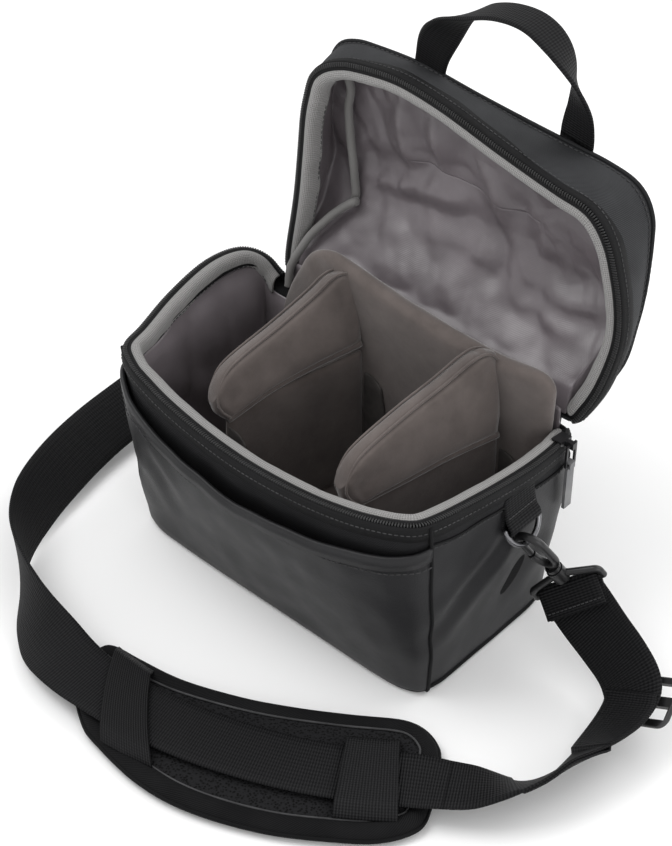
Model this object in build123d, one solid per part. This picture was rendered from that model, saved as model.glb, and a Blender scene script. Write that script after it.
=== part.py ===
"""Camera bag with an open lid, padded dividers and a shoulder strap that lies on the ground.

Units are millimetres, +Z is up and the origin is the centre of the base on the ground. The front of
the bag faces -Y. The lid is drawn shut on the sloping rim of the body, then turned open about its hinge.
"""
import os
from math import atan2, cos, degrees, pi, radians, sin, tan

from build123d import *

# ---- driving dimensions -------------------------------------------------------------------------
RIM_HALF_WIDTH = 118.0
RIM_FRONT, RIM_BACK = -70.0, 67.5
RIM_FRONT_HEIGHT, RIM_BACK_HEIGHT = 140.0, 122.0
BASE_HALF_WIDTH = 112.0
BASE_FRONT, BASE_BACK = -58.0, 61.0
FRONT_CORNER, BACK_CORNER = 24.0, 14.0
SKIN = 1.6
PADDING_START, PADDING_END = 1.8, 10.0
FLOOR_TOP = 14.0

POCKET_HALF_WIDTH, POCKET_TOP, POCKET_ROOM, POCKET_SKIN = 90.0, 118.0, 7.0, 1.4

LID_HALF_WIDTH = 116.0
LID_NEAR, LID_FAR = 4.0, 142.0
LID_DEPTH = 40.0
LID_SOFT_EDGE = 12.0
LID_GAP = 4.0
LID_OPEN_ANGLE = 84.0

ZIP_BAND = 12.0
TOOTH = 2.4
BINDING_WIDTH = 9.0

TAB_Y, TAB_WIDTH, TAB_TOP = 8.0, 27.0, 115.0
RING_BAR = (123.0, 98.0)
RING_DROP, RING_HALF_WIDTH, RING_WIRE, RING_TILT = 14.0, 14.0, 1.7, 25.0
HOOK_DIRECTION = Vector(0.357, 0.441, -0.824)
HOOK_BAR_DIRECTION = Vector(0.693, 0.464, 0.549)
HOOK_REACH = 47.0
HOOK_RADIUS, HOOK_WIRE, HOOK_STRAIGHT = 8.0, 2.5, 12.7
GATE_WIRE = 1.9
LOOP_WIRE, LOOP_BEND = 2.2, 3.5

STRAP_WIDTH, STRAP_THICKNESS = 38.0, 1.6
PAD_WIDTH, PAD_THICKNESS, PAD_BOTTOM = 74.0, 9.0, 0.5
PAD_ENDS = ((-46.0, -184.0), (163.0, -108.0))
PAD_SAG = 24.0
PAD_FAR_CORNER, PAD_NEAR_CORNER, PAD_LENGTH = 30.0, 14.0, 230.0
BAND_WIDTH, BAND_STARTS = 32.0, (0.12, 0.765)
ADJUSTER_PLACE = (217.3, 6.7, 20.5)
ADJUSTER_BAR, ADJUSTER_FACE = (0.866, 0.0, 0.5), (-0.444, -0.458, 0.770)
ADJUSTER_LENGTH, ADJUSTER_WIDTH, ADJUSTER_THICKNESS = 44.0, 31.0, 3.4
ADJUSTER_SLOT_LENGTH, ADJUSTER_SLOT_WIDTH, ADJUSTER_SLOT_SHIFT = 40.0, 8.0, 7.0

HANDLE_HALF_SPAN, HANDLE_RISE, HANDLE_WIDTH, HANDLE_THICKNESS = 56.0, 72.0, 22.0, 3.0
PANEL_DEPTH, PANEL_Y, FLAP_DEPTH, FLAP_Y = 95.0, 0.8, 96.0, -3.0
FLAP_THICKNESS, FLAP_TOP, CREASE = 15.0, 158.0, 110.0
LEFT_DIVIDER, RIGHT_DIVIDER = (-48.0, -22.0, -14.0), (60.0, -14.0, -14.0)

SLIDER_PLACE = 18.0
PULL_X, PULL_WIRE, PULL_RING_LENGTH, PULL_TAB_LENGTH = 123.4, 1.4, 14.0, 30.0

# Each stop of the strap's route is x, y, z and its roll in degrees: 0 lies flat, 90 stands on edge.
STRAP_ROUTE = [
    (150, 29, 40, 46), (174, 22, 32.5, 56), (197, 15, 27, 52), (213, 4, 22.5, 36), (217, -14, 19, 38),
    (216, -38, 17.5, 48), (212, -62, 18.2, 62), (204, -84, 16, 45), (184, -101, 13.6, 12),
    (158, -116, 12.6, 0), (130, -136, 12.6, 0), (98, -154.5, 12.6, 0), (58, -171, 12.6, 0),
    (17, -182, 12.6, 0), (-22, -187, 12.8, 0), (-53, -187, 17, -14), (-82, -180, 19, -50), (-111, -164, 21, -80),
    (-138, -144, 21.5, -102), (-158, -114, 20.5, -124), (-172, -76, 19, -140), (-180, -42, 18, -148),
    (-182, -14, 19, -150), (-177, 9, 26, -145), (-166, 25, 34.5, -135), (-150, 29, 40, -128),
]

RIM_SLOPE = degrees(atan2(RIM_FRONT_HEIGHT - RIM_BACK_HEIGHT, RIM_BACK - RIM_FRONT))
HINGE = Vector(0, RIM_BACK, RIM_BACK_HEIGHT)
# In the rim frame, X is the bag's X, Y runs forward along the rim from the hinge and Z points up off it.
RIM_FRAME = Plane(
    origin=HINGE,
    x_dir=(-1, 0, 0),
    z_dir=(0, sin(radians(RIM_SLOPE)), cos(radians(RIM_SLOPE))),
)

nodes = {}


def rounded_outline(half_width, near, far, near_radius, far_radius):
    """A rectangle from y = near to y = far whose near and far corners have their own radii."""
    corners = Polyline(
        (-half_width, near), (half_width, near), (half_width, far), (-half_width, far), close=True
    )
    face = make_face(corners)
    near_corners = face.vertices().filter_by(lambda corner: abs(corner.Y - near) < 0.01)
    face = fillet(near_corners, near_radius)
    far_corners = face.vertices().filter_by(
        lambda corner: abs(corner.Y - far) < 0.01 and abs(abs(corner.X) - half_width) < 0.01
    )
    return fillet(far_corners, far_radius)


def half_space(plane):
    """A large block on the side that the plane's normal points to."""
    return plane * Box(900, 900, 500, align=(Align.CENTER, Align.CENTER, Align.MIN))


def block(x_range, y_range, z_range):
    """A box between two limits on each axis."""
    size = [high - low for low, high in (x_range, y_range, z_range)]
    middle = [(high + low) / 2 for low, high in (x_range, y_range, z_range)]
    return Pos(*middle) * Box(*size)


# ---- body ---------------------------------------------------------------------------------------
def body_solid(inset, bottom):
    """The body's tapered form, inset all round and cut off along the sloping rim."""
    top = 150.0
    rim_share = (top - RIM_BACK_HEIGHT / 2 - RIM_FRONT_HEIGHT / 2) / RIM_FRONT_HEIGHT
    spread = RIM_HALF_WIDTH - BASE_HALF_WIDTH
    base = rounded_outline(
        BASE_HALF_WIDTH - inset, BASE_FRONT + inset, BASE_BACK - inset,
        max(FRONT_CORNER - inset, 3), max(BACK_CORNER - inset, 3),
    )
    rim = rounded_outline(
        RIM_HALF_WIDTH + spread * rim_share - inset,
        RIM_FRONT - 7 * rim_share + inset,
        RIM_BACK + 6.5 * rim_share - inset,
        max(FRONT_CORNER - inset, 3), max(BACK_CORNER - inset, 3),
    )
    solid = loft([base, Pos(0, 0, top) * rim])
    solid = solid & half_space(RIM_FRAME.rotated((180, 0, 0)))
    return solid & half_space(Plane.XY.offset(bottom))


def body_shell(outer_inset, inner_inset, bottom=0.0):
    return body_solid(outer_inset, bottom) - body_solid(inner_inset, bottom)


FRONT_SPLIT = BASE_HALF_WIDTH - FRONT_CORNER
BACK_SPLIT = BASE_HALF_WIDTH - BACK_CORNER


def split_walls(shell, prefix):
    """Cut a four-sided shell into a front, a back and two sides with their rounded corners."""
    front_zone = block((-FRONT_SPLIT, FRONT_SPLIT), (-200, 0), (-10, 300))
    back_zone = block((-BACK_SPLIT, BACK_SPLIT), (0, 200), (-10, 300))
    nodes[prefix.format("front")] = shell & front_zone
    nodes[prefix.format("back")] = shell & back_zone
    sides = shell - front_zone - back_zone
    nodes[prefix.format("side_left")] = sides & block((-200, 0), (-200, 200), (-10, 300))
    nodes[prefix.format("side_right")] = sides & block((0, 200), (-200, 200), (-10, 300))


def make_body():
    split_walls(body_shell(0, SKIN, 2.2), "{}_panel")
    split_walls(body_shell(PADDING_START, PADDING_END, FLOOR_TOP + 0.2), "{}_padding")
    base = rounded_outline(BASE_HALF_WIDTH, BASE_FRONT, BASE_BACK, FRONT_CORNER, BACK_CORNER)
    nodes["base_panel"] = extrude(base, 2)
    stiffener = rounded_outline(BASE_HALF_WIDTH - 4, BASE_FRONT + 4, BASE_BACK - 4, 16, 10)
    nodes["base_stiffener"] = Pos(0, 0, 2.4) * extrude(stiffener, 2)
    nodes["floor_padding"] = Pos(0, 0, 4.6) * extrude(stiffener, FLOOR_TOP - 4.6)


def make_front_pocket():
    """The slip pocket's outer panel, sewn on at its sides and base and open along its top."""
    half, top, dip, foot = POCKET_HALF_WIDTH, POCKET_TOP, POCKET_TOP - 18, 6.0
    outline = make_face(Polyline((-half, foot), (half, foot), (half, top), (0, dip), (-half, top), close=True))
    lean = atan2(BASE_FRONT - RIM_FRONT, RIM_FRONT_HEIGHT)
    wall = Plane(
        origin=(0, BASE_FRONT - POCKET_ROOM, 0), x_dir=(1, 0, 0), z_dir=(0, -cos(lean), -sin(lean))
    )
    nodes["front_pocket_panel"] = wall * extrude(outline, POCKET_SKIN)
    seam = 5.0
    edges = extrude(outline, -POCKET_ROOM - 4)
    edges = edges - Pos(0, top / 2 + foot + seam) * Box(2 * (half - seam), top, 6 * POCKET_ROOM)
    nodes["front_pocket_gusset"] = wall * Pos(0, 0, -0.1) * edges - body_solid(-0.2, 0)


def rim_ring(half_width, near, far, near_radius, far_radius, outer, inner, low, high):
    """A C-shaped ring in the rim frame that is open at the back, for zips, tapes and bindings."""
    outside = rounded_outline(half_width + outer, near - outer, far + outer, near_radius, far_radius + outer)
    inside = rounded_outline(half_width + inner, near - inner, far + inner, near_radius, far_radius + inner)
    ring = Pos(0, 0, low) * (extrude(outside, high - low) - extrude(inside, high - low))
    return ring - block((-half_width + 6, half_width - 6), (near - 30, near + 30), (low - 5, high + 5))


def make_body_rim():
    length = (RIM_BACK - RIM_FRONT) / cos(radians(RIM_SLOPE))
    size = (RIM_HALF_WIDTH, 0.0, length, BACK_CORNER, FRONT_CORNER)
    teeth = rim_ring(*size, -0.6, -0.6 - TOOTH, 0.2, 0.2 + TOOTH)
    nodes["body_zip_teeth"] = RIM_FRAME * (teeth - block((-300, 300), (-10, 12), (-5, 9)))
    nodes["body_zip_tape"] = RIM_FRAME * (
        rim_ring(*size, 1.6, 0.6, -ZIP_BAND, -0.2) - block((-300, 300), (-10, 8), (-30, 9))
    )
    binding = rim_ring(*size, -PADDING_END - 2.6, -PADDING_END - 4.4, -BINDING_WIDTH, -0.4)
    nodes["body_rim_binding"] = RIM_FRAME * (binding - block((-300, 300), (-10, 16), (-30, 9)))
    nodes["hinge_strip"] = block((-98, 98), (68.2, 69.4), (98, 119)) - body_solid(-0.1, 0)
    nodes["back_padding_flap"] = block((-96, 96), (49.5, 57.5), (124.4, 149))


# ---- lid ----------------------------------------------------------------------------------------
def lid_solid(inset, low):
    """The shut lid in the rim frame: a shallow box with a soft upper edge."""
    radius = FRONT_CORNER - inset
    outline = rounded_outline(
        LID_HALF_WIDTH - inset, LID_NEAR + inset, LID_FAR - inset, BACK_CORNER - inset, radius
    )
    solid = Pos(0, 0, low) * extrude(outline, LID_DEPTH - inset - low)
    top_edges = solid.faces().sort_by(Axis.Z)[-1].edges()
    return fillet(top_edges, LID_SOFT_EDGE - inset)


def opened(solid):
    """Place a solid drawn on the shut lid, then turn it open with the lid."""
    return (RIM_FRAME * solid).rotate(Axis(HINGE, (1, 0, 0)), -LID_OPEN_ANGLE)


def make_lid():
    shell = lid_solid(0, LID_GAP) - lid_solid(SKIN, LID_GAP - 1)
    seam_height = LID_DEPTH - LID_SOFT_EDGE
    top = shell & block((-300, 300), (-300, 300), (seam_height, 90))
    walls = shell & block((-300, 300), (-300, 300), (-20, seam_height - 0.1))
    front_zone = block((-LID_HALF_WIDTH + FRONT_CORNER, LID_HALF_WIDTH - FRONT_CORNER), (70, 200), (-9, 90))
    back_zone = block((-LID_HALF_WIDTH + BACK_CORNER, LID_HALF_WIDTH - BACK_CORNER), (-9, 70), (-9, 90))
    sides = walls - front_zone - back_zone
    nodes["lid_top_panel"] = opened(top)
    nodes["lid_front_wall"] = opened(walls & front_zone)
    nodes["lid_back_wall"] = opened(walls & back_zone)
    nodes["lid_side_wall_left"] = opened(sides & block((0, 300), (-9, 300), (-9, 90)))
    nodes["lid_side_wall_right"] = opened(sides & block((-300, 0), (-9, 300), (-9, 90)))
    lining = lid_solid(SKIN + 0.2, LID_GAP + 1) - lid_solid(SKIN + 1.4, LID_GAP)
    nodes["lid_lining"] = opened(lining)


def make_lid_rim():
    size = (LID_HALF_WIDTH, LID_NEAR, LID_FAR, BACK_CORNER, FRONT_CORNER)
    start = block((-300, 300), (-10, 26), (-30, 60))
    nodes["lid_zip_teeth"] = opened(rim_ring(*size, 2.6, 0.2, LID_GAP + 0.2, LID_GAP + 0.2 + TOOTH) - start)
    nodes["lid_zip_tape"] = opened(rim_ring(*size, 1.4, 0.2, LID_GAP + 2.8, LID_GAP + ZIP_BAND) - start)
    binding = rim_ring(*size, -SKIN - 1.6, -SKIN - 3.4, LID_GAP, LID_GAP + BINDING_WIDTH)
    nodes["lid_rim_binding"] = opened(binding - start)


def make_handle():
    """The carry handle's arch, standing in line with the lid's front wall."""
    outer = ThreePointArc((-HANDLE_HALF_SPAN, 0), (0, HANDLE_RISE), (HANDLE_HALF_SPAN, 0))
    inner_half = HANDLE_HALF_SPAN - HANDLE_THICKNESS
    inner_rise = HANDLE_RISE - HANDLE_THICKNESS
    inner = ThreePointArc((-inner_half, 0), (0, inner_rise), (inner_half, 0))
    feet = [Line(outer @ 0, inner @ 0), Line(inner @ 1, outer @ 1)]
    arch = extrude(make_face([outer, inner] + feet), -HANDLE_WIDTH)
    foot_line = LID_FAR + 3.2
    nodes["carry_handle"] = opened(Pos(0, foot_line, LID_DEPTH - 1) * arch)
    feet_boxes = [
        Pos(side * (HANDLE_HALF_SPAN - 2), LID_FAR + 1.5, LID_DEPTH - LID_SOFT_EDGE) * Box(24, 2.4, 18)
        for side in (-1, 1)
    ]
    nodes["handle_anchors"] = opened(feet_boxes[0] + feet_boxes[1])


# ---- dividers -----------------------------------------------------------------------------------
def make_divider(side_name, middle_x, lean, yaw):
    """A padded divider: a thin lower panel with hook tabs and a thick flap on a crease above it."""
    panel = Pos(0, 0, (FLOOR_TOP + CREASE) / 2) * Box(5, PANEL_DEPTH, CREASE - FLOOR_TOP - 1.6)
    tab_y = PANEL_DEPTH / 2 - 1.1
    tabs = Pos(5, tab_y, 60) * Box(4.6, 1.2, 50) + Pos(5, -tab_y, 60) * Box(4.6, 1.2, 50)
    half, height = FLAP_DEPTH / 2, FLAP_TOP - CREASE
    outline = make_face(Polyline((-half, 0), (half, 0), (half, height), (-half, height), close=True))
    front_corner = outline.vertices().group_by(Axis.Y)[-1].sort_by(Axis.X)[0]
    outline = fillet([front_corner], 30)
    back_corner = outline.vertices().sort_by(Axis.Y)[-1:].sort_by(Axis.X)[-1]
    outline = fillet([back_corner], 12) if back_corner.X > half - 1 else outline
    flap = Plane.YZ * extrude(outline, FLAP_THICKNESS / 2, both=True)
    lift = FLAP_THICKNESS / 2 * abs(sin(radians(lean))) + 0.6
    flap = Pos(0, 0, lift) * Rot(0, lean, 0) * flap
    place = Pos(middle_x, 0, 0) * Rot(0, 0, yaw)
    nodes[f"divider_{side_name}_panel"] = place * Pos(0, PANEL_Y, 0) * panel
    nodes[f"divider_{side_name}_tabs"] = place * Pos(0, PANEL_Y, 0) * tabs
    nodes[f"divider_{side_name}_flap"] = place * Pos(0, FLAP_Y, CREASE) * flap


# ---- zip slider ---------------------------------------------------------------------------------
def make_zip_slider():
    """The slider straddles the body's teeth at the back end of the right run; its pull hangs outside."""
    teeth_x = -(RIM_HALF_WIDTH - 0.6 - TOOTH / 2)
    cover = Pos(teeth_x, SLIDER_PLACE, 1.8) * Box(6.8, 10, 3.6)
    channel = Pos(teeth_x, SLIDER_PLACE, 0.9) * Box(4.0, 12, 4.0)
    slider = RIM_FRAME * (cover - channel)
    nose = slider.bounding_box().max
    middle_y = (slider.bounding_box().min.Y + nose.Y) / 2
    bail = Pos(PULL_X, middle_y, nose.Z - 2.2) * (Box(4.4, 3, 4.4) - Box(2.2, 4, 2.2))
    arm = block((nose.X - 0.6, PULL_X - 2.0), (middle_y - 1.5, middle_y + 1.5), (nose.Z - 3.8, nose.Z - 0.6))
    nodes["zip_slider"] = slider + bail + arm
    print("pull ring pivot", PULL_X, middle_y, nose.Z - 2.2)

    outer = Box(PULL_WIRE, 9, PULL_RING_LENGTH + PULL_WIRE)
    ring = outer - Box(2 * PULL_WIRE, 9 - 2 * PULL_WIRE, PULL_RING_LENGTH - PULL_WIRE)
    nodes["zip_pull_ring"] = Pos(PULL_X, middle_y, nose.Z - 2.2 - PULL_RING_LENGTH / 2) * ring
    eye_height = nose.Z - 2.2 - PULL_RING_LENGTH
    eye = Box(4.2, 4.6, 4.2) - Box(2.2, 6, 2.2)
    tab = Pos(0, 0, -PULL_TAB_LENGTH / 2 - 1.9) * Box(2.0, 6.4, PULL_TAB_LENGTH)
    nodes["zip_pull_tab"] = Pos(PULL_X, middle_y, eye_height) * (eye + tab)
    print("pull tab pivot", PULL_X, middle_y, eye_height)


# ---- strap hardware -----------------------------------------------------------------------------
def both_sides(name, solid):
    """Keep a solid of the bag's right side and its mirror image on the left."""
    nodes[f"{name}_right"] = solid
    nodes[f"{name}_left"] = mirror(solid, Plane.YZ)


def bar_along(direction, centre, radius, length):
    return Plane(origin=centre, z_dir=direction) * Cylinder(radius, length)


def make_ring_tab():
    """A folded webbing tab sewn to the side, with a loop that holds the D-ring's bar."""
    bar_x, bar_z = RING_BAR
    sewn = block((112, 120.6), (TAB_Y - TAB_WIDTH / 2, TAB_Y + TAB_WIDTH / 2), (bar_z - 1, TAB_TOP))
    loop = bar_along((0, 1, 0), (bar_x, TAB_Y, bar_z), 3.6, TAB_WIDTH - 4)
    hole = bar_along((0, 1, 0), (bar_x, TAB_Y, bar_z), 2.4, TAB_WIDTH + 9)
    both_sides("ring_tab", sewn + loop - hole - body_solid(-0.1, 0))


def ring_frame():
    """X runs along the ring's bar towards the back and Y points from the ring's low point to its bar."""
    bar_x, bar_z = RING_BAR
    tilt = radians(RING_TILT)
    return Plane(origin=(bar_x, TAB_Y, bar_z), x_dir=(0, 1, 0), z_dir=(cos(tilt), 0, sin(tilt)))


def make_d_ring():
    half = RING_HALF_WIDTH
    arc = ThreePointArc((-half, 0), (0, -RING_DROP), (half, 0))
    bow = sweep(Plane(origin=arc @ 0, z_dir=arc % 0) * Circle(RING_WIRE), path=arc)
    bar = Rot(0, 90, 0) * Cylinder(RING_WIRE, 2 * half)
    ends = Pos(-half, 0) * Sphere(RING_WIRE) + Pos(half, 0) * Sphere(RING_WIRE)
    both_sides("d_ring", ring_frame() * (bow + bar + ends))


def hook_frame():
    """The strap bar is at the origin, along X; Z points up the swivel to the D-ring."""
    low_point = ring_frame().from_local_coords(Vector(0, -RING_DROP, 0))
    return Plane(origin=low_point + HOOK_DIRECTION * HOOK_REACH, x_dir=HOOK_BAR_DIRECTION, z_dir=-HOOK_DIRECTION)


def hook_loop_frame():
    """The hook's loop lies in this frame's X-Y plane, with Y up the swivel, so the ring passes along Z."""
    base = hook_frame()
    up = base.z_dir
    along_ring = Vector(0, 1, 0)
    normal = (along_ring - up * along_ring.dot(up)).normalized()
    return Plane(origin=base.origin, x_dir=up.cross(normal), z_dir=normal)


def make_hook():
    bar_half, shoulder, crown, barrel_low, barrel_top = 21.5, 6.0, 12.0, 9.0, 18.0
    loop_path = FilletPolyline(
        (-bar_half, 0, 0), (-bar_half, 0, shoulder), (-4, 0, crown), (4, 0, crown), (bar_half, 0, shoulder),
        (bar_half, 0, 0), radius=LOOP_BEND,
    )
    loop_start = Plane(origin=loop_path @ 0, z_dir=loop_path % 0)
    wire = sweep(loop_start * Circle(LOOP_WIRE), path=loop_path)
    bar = Rot(0, 90, 0) * Cylinder(LOOP_WIRE, 2 * bar_half)
    elbows = Pos(-bar_half, 0, 0) * Sphere(LOOP_WIRE) + Pos(bar_half, 0, 0) * Sphere(LOOP_WIRE)
    barrel = Pos(0, 0, (barrel_low + barrel_top) / 2) * Cylinder(5.2, barrel_top - barrel_low)
    bore = Pos(0, 0, barrel_top - 4) * Cylinder(2.9, 8.2)
    base = wire + bar + elbows + barrel - bore
    both_sides("swivel_base", hook_frame() * base)

    top_y = HOOK_REACH + RING_WIRE + 0.9 + HOOK_WIRE - HOOK_RADIUS
    low_y = top_y - HOOK_STRAIGHT
    radius = HOOK_RADIUS
    over_top = ThreePointArc((-radius, top_y), (0, top_y + radius), (radius, top_y))
    back = Line((-radius, low_y), (-radius, top_y))
    slant = radius * cos(pi / 4)
    under = ThreePointArc((0, low_y - radius), (-slant, low_y - slant), (-radius, low_y))
    nose = Line((radius, top_y), (radius, top_y - 2))
    path = Wire([under, back, over_top, nose])
    loop = sweep(Plane(origin=path @ 0, z_dir=path % 0) * Circle(HOOK_WIRE), path=path)
    seat_arc = ThreePointArc(
        (0, low_y - radius), (radius * cos(pi / 4), low_y - radius * sin(pi / 4)), (radius, low_y)
    )
    seat = sweep(Plane(origin=seat_arc @ 0, z_dir=seat_arc % 0) * Circle(HOOK_WIRE), path=seat_arc)
    stem_top = low_y - radius
    stem = Pos(0, (barrel_top - 6 + stem_top) / 2) * Rot(90, 0, 0) * Cylinder(2.5, stem_top - barrel_top + 6)
    collar = Pos(0, barrel_top + 1.6) * Rot(90, 0, 0) * Cylinder(4.6, 2.4)
    place = hook_loop_frame()
    both_sides("snap_hook", place * (loop + seat + stem + collar))

    gate_low, gate_high = low_y + 1.0, top_y - 2.6
    gate = Pos(radius, (gate_low + gate_high) / 2) * Rot(90, 0, 0) * Cylinder(GATE_WIRE, gate_high - gate_low)
    both_sides("hook_gate", place * gate)
    print("hook bar", hook_frame().origin, "gate pivot", place.from_local_coords(Vector(radius, gate_low, 0)))
    print("gate axis", place.z_dir, "ring low point", ring_frame().from_local_coords(Vector(0, -RING_DROP, 0)))


def make_adjuster():
    """A three-bar slide that leans just behind the strap, face to face with it."""
    outline = RectangleRounded(ADJUSTER_LENGTH, ADJUSTER_WIDTH, 7)
    plate = extrude(outline, ADJUSTER_THICKNESS / 2, both=True)
    frame = fillet(plate.faces().filter_by(Axis.Z).edges(), 1.2)
    slot = Box(ADJUSTER_SLOT_LENGTH, ADJUSTER_SLOT_WIDTH, 3 * ADJUSTER_THICKNESS)
    for side in (-1, 1):
        frame = frame - Pos(0, side * ADJUSTER_SLOT_SHIFT) * slot
    nodes["strap_adjuster"] = Plane(origin=ADJUSTER_PLACE, x_dir=ADJUSTER_BAR, z_dir=ADJUSTER_FACE) * frame


# ---- strap --------------------------------------------------------------------------------------
def strap_path():
    """Straight runs joined by arcs as large as each pair of runs allows."""
    stops = [Vector(x, y, z) for x, y, z, roll in STRAP_ROUTE]
    radii = []
    for before, here, after in zip(stops, stops[1:], stops[2:]):
        turn = (here - before).get_angle(after - here)
        shorter = min((here - before).length, (after - here).length)
        radii.append(0.45 * shorter / tan(radians(turn) / 2))
    print("strap bend radii", [round(radius) for radius in radii])
    return FilletPolyline(*stops, radius=radii)


def make_strap():
    path = strap_path()
    count = round(path.length / 11)
    stops = [Vector(x, y, z) for x, y, z, roll in STRAP_ROUTE]
    reach = [0.0]
    for before, after in zip(stops, stops[1:]):
        reach.append(reach[-1] + (after - before).length)
    sections = []
    for step in range(count + 1):
        share = step / count
        place = share * reach[-1]
        span = max(index for index, length in enumerate(reach[:-1]) if length <= place)
        part = (place - reach[span]) / (reach[span + 1] - reach[span])
        roll = STRAP_ROUTE[span][3] * (1 - part) + STRAP_ROUTE[span + 1][3] * part
        tangent = path % share
        level = tangent.cross(Vector(0, 0, 1)).normalized()
        across = level.rotate(Axis((0, 0, 0), tangent), roll)
        section = Plane(origin=path @ share, x_dir=across, z_dir=tangent)
        sections.append(section * Rectangle(STRAP_WIDTH, STRAP_THICKNESS))
    strap = loft(sections, ruled=True)
    print("strap length", path.length, "volume share", strap.volume / path.length / STRAP_WIDTH / STRAP_THICKNESS)
    nodes["strap_webbing"] = strap


def pad_band_face(half_width, start, end):
    """Part of the pad's curved strip, between two shares of its length."""
    (x0, y0), (x1, y1) = PAD_ENDS
    chord = Vector(x1 - x0, y1 - y0, 0)
    outward = Vector(chord.Y, -chord.X, 0).normalized()
    middle = Vector((x0 + x1) / 2, (y0 + y1) / 2, 0) + outward * PAD_SAG
    line = ThreePointArc((x0, y0), middle, (x1, y1))
    stops = [start, (start + end) / 2, end]
    sides = []
    for side in (-1, 1):
        points = []
        for share in stops:
            tangent = line % share
            points.append(line @ share + Vector(-tangent.Y, tangent.X, 0) * side * half_width)
        sides.append(ThreePointArc(*points))
    near, far = sides
    return make_face([near, Line(near @ 1, far @ 1), far, Line(far @ 0, near @ 0)])


def make_pad():
    outline = pad_band_face(PAD_WIDTH / 2, 0, 1)
    corners = outline.vertices().sort_by(Axis.X)
    outline = fillet(corners[1:3], PAD_NEAR_CORNER)
    corners = outline.vertices().sort_by(Axis.X)
    outline = fillet([corners[0], corners[-1]], PAD_FAR_CORNER)
    nodes["shoulder_pad"] = Pos(0, 0, PAD_BOTTOM) * extrude(outline, PAD_THICKNESS)
    top = pad_band_face(PAD_WIDTH / 2 - 8, 0.06, 0.94)
    nodes["pad_top_panel"] = Pos(0, 0, PAD_BOTTOM + PAD_THICKNESS) * extrude(top, 0.8)
    for name, start in (("pad_band_left", BAND_STARTS[0]), ("pad_band_right", BAND_STARTS[1])):
        end = start + BAND_WIDTH / PAD_LENGTH
        bridge = extrude(pad_band_face(PAD_WIDTH / 2 - 7, start, end), 6.4)
        tunnel = extrude(pad_band_face(STRAP_WIDTH / 2 + 6, start - 0.05, end + 0.05), 4.8)
        nodes[name] = Pos(0, 0, PAD_BOTTOM + PAD_THICKNESS + 0.9) * (bridge - tunnel)


def main():
    make_body()
    make_front_pocket()
    make_body_rim()
    make_lid()
    make_lid_rim()
    make_handle()
    make_divider("left", *LEFT_DIVIDER)
    make_divider("right", *RIGHT_DIVIDER)
    make_zip_slider()
    make_ring_tab()
    make_d_ring()
    make_hook()
    make_adjuster()
    make_strap()
    make_pad()
    os.makedirs("parts", exist_ok=True)
    for name, shape in nodes.items():
        export_step(shape, f"parts/{name}.step")


main()
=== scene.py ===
"""The looks of the camera bag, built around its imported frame.

Lengths are in millimetres in this script, and are turned into metres when a mesh or curve is made.
+Z is up, the bag's front faces -Y and +X is the bag's right side. Every piece is drawn where it rests,
with the lid open, and rides on the body that it moves with.
"""
import math

import bpy
import numpy as np
from mathutils import Matrix, Vector, noise


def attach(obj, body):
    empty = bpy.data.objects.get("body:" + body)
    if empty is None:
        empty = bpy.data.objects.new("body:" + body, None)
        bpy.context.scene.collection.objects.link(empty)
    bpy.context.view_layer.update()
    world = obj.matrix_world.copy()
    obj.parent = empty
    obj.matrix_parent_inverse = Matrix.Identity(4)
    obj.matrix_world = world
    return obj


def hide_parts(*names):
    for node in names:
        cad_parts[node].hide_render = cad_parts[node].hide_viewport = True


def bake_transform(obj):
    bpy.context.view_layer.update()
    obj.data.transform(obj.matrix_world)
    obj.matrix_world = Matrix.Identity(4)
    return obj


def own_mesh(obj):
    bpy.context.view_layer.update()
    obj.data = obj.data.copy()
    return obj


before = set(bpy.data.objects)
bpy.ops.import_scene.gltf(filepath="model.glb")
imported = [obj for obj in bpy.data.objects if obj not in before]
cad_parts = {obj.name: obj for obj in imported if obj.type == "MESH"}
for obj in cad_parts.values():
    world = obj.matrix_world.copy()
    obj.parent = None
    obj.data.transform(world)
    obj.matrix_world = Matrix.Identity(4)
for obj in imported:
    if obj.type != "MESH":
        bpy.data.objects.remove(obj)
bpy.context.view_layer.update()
MM = 0.001
UP = np.array([0.0, 0.0, 1.0])

# ---- camera -------------------------------------------------------------------------------------
CAMERA_AZIMUTH, CAMERA_ELEVATION = 42.3, 40.4
CAMERA_PLACE = (622.0, -693.7, 896.2)
CAMERA_LENS = 89.36
TOWARDS_CAMERA = (0.5125, -0.563, 0.648)

# ---- body, as the zip runs: left side, front left corner, front, front right corner, right side, and
# the fold at the back. A stretch starts where the one before it ends, and the first where the last ends.
RIM_STRETCHES = (
    [(-121, 60, 132), (-132, 48, 139), (-136, 22, 141), (-131, -14, 139), (-120, -50, 138)],
    [(-113, -69, 139.5), (-95, -79, 138.5)],
    [(-64, -85, 135.5), (-30, -88, 132.5), (5, -89, 131),
     (45, -88, 133), (78, -85, 137), (100, -79, 139.5)],
    [(113, -70, 140), (117.5, -52, 138)],
    [(120, -19, 133.5), (121, 18, 129), (118, 48, 125), (112, 64, 122)],
    [(60, 67, 121.5), (0, 67.5, 121.5), (-60, 67, 121.5), (-110, 62, 122)],
)
BASE_OUTLINE = (
    [(-111, 52), (-113, 38), (-114, 8), (-114, -20), (-113, -46)],
    [(-109, -59), (-96, -64)],
    [(-64, -65), (-30, -65), (5, -65), (45, -65), (78, -65), (97, -64)],
    [(109, -59), (113, -46)],
    [(113, -19), (113, 12), (112, 42), (105, 60)],
    [(60, 61), (0, 61), (-60, 61), (-104, 60)],
)
BASE_STRETCHES = [[(x, y, 0) for x, y in stretch] for stretch in BASE_OUTLINE]
BODY_STEPS = (44, 14, 70, 14, 44, 60)

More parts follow.
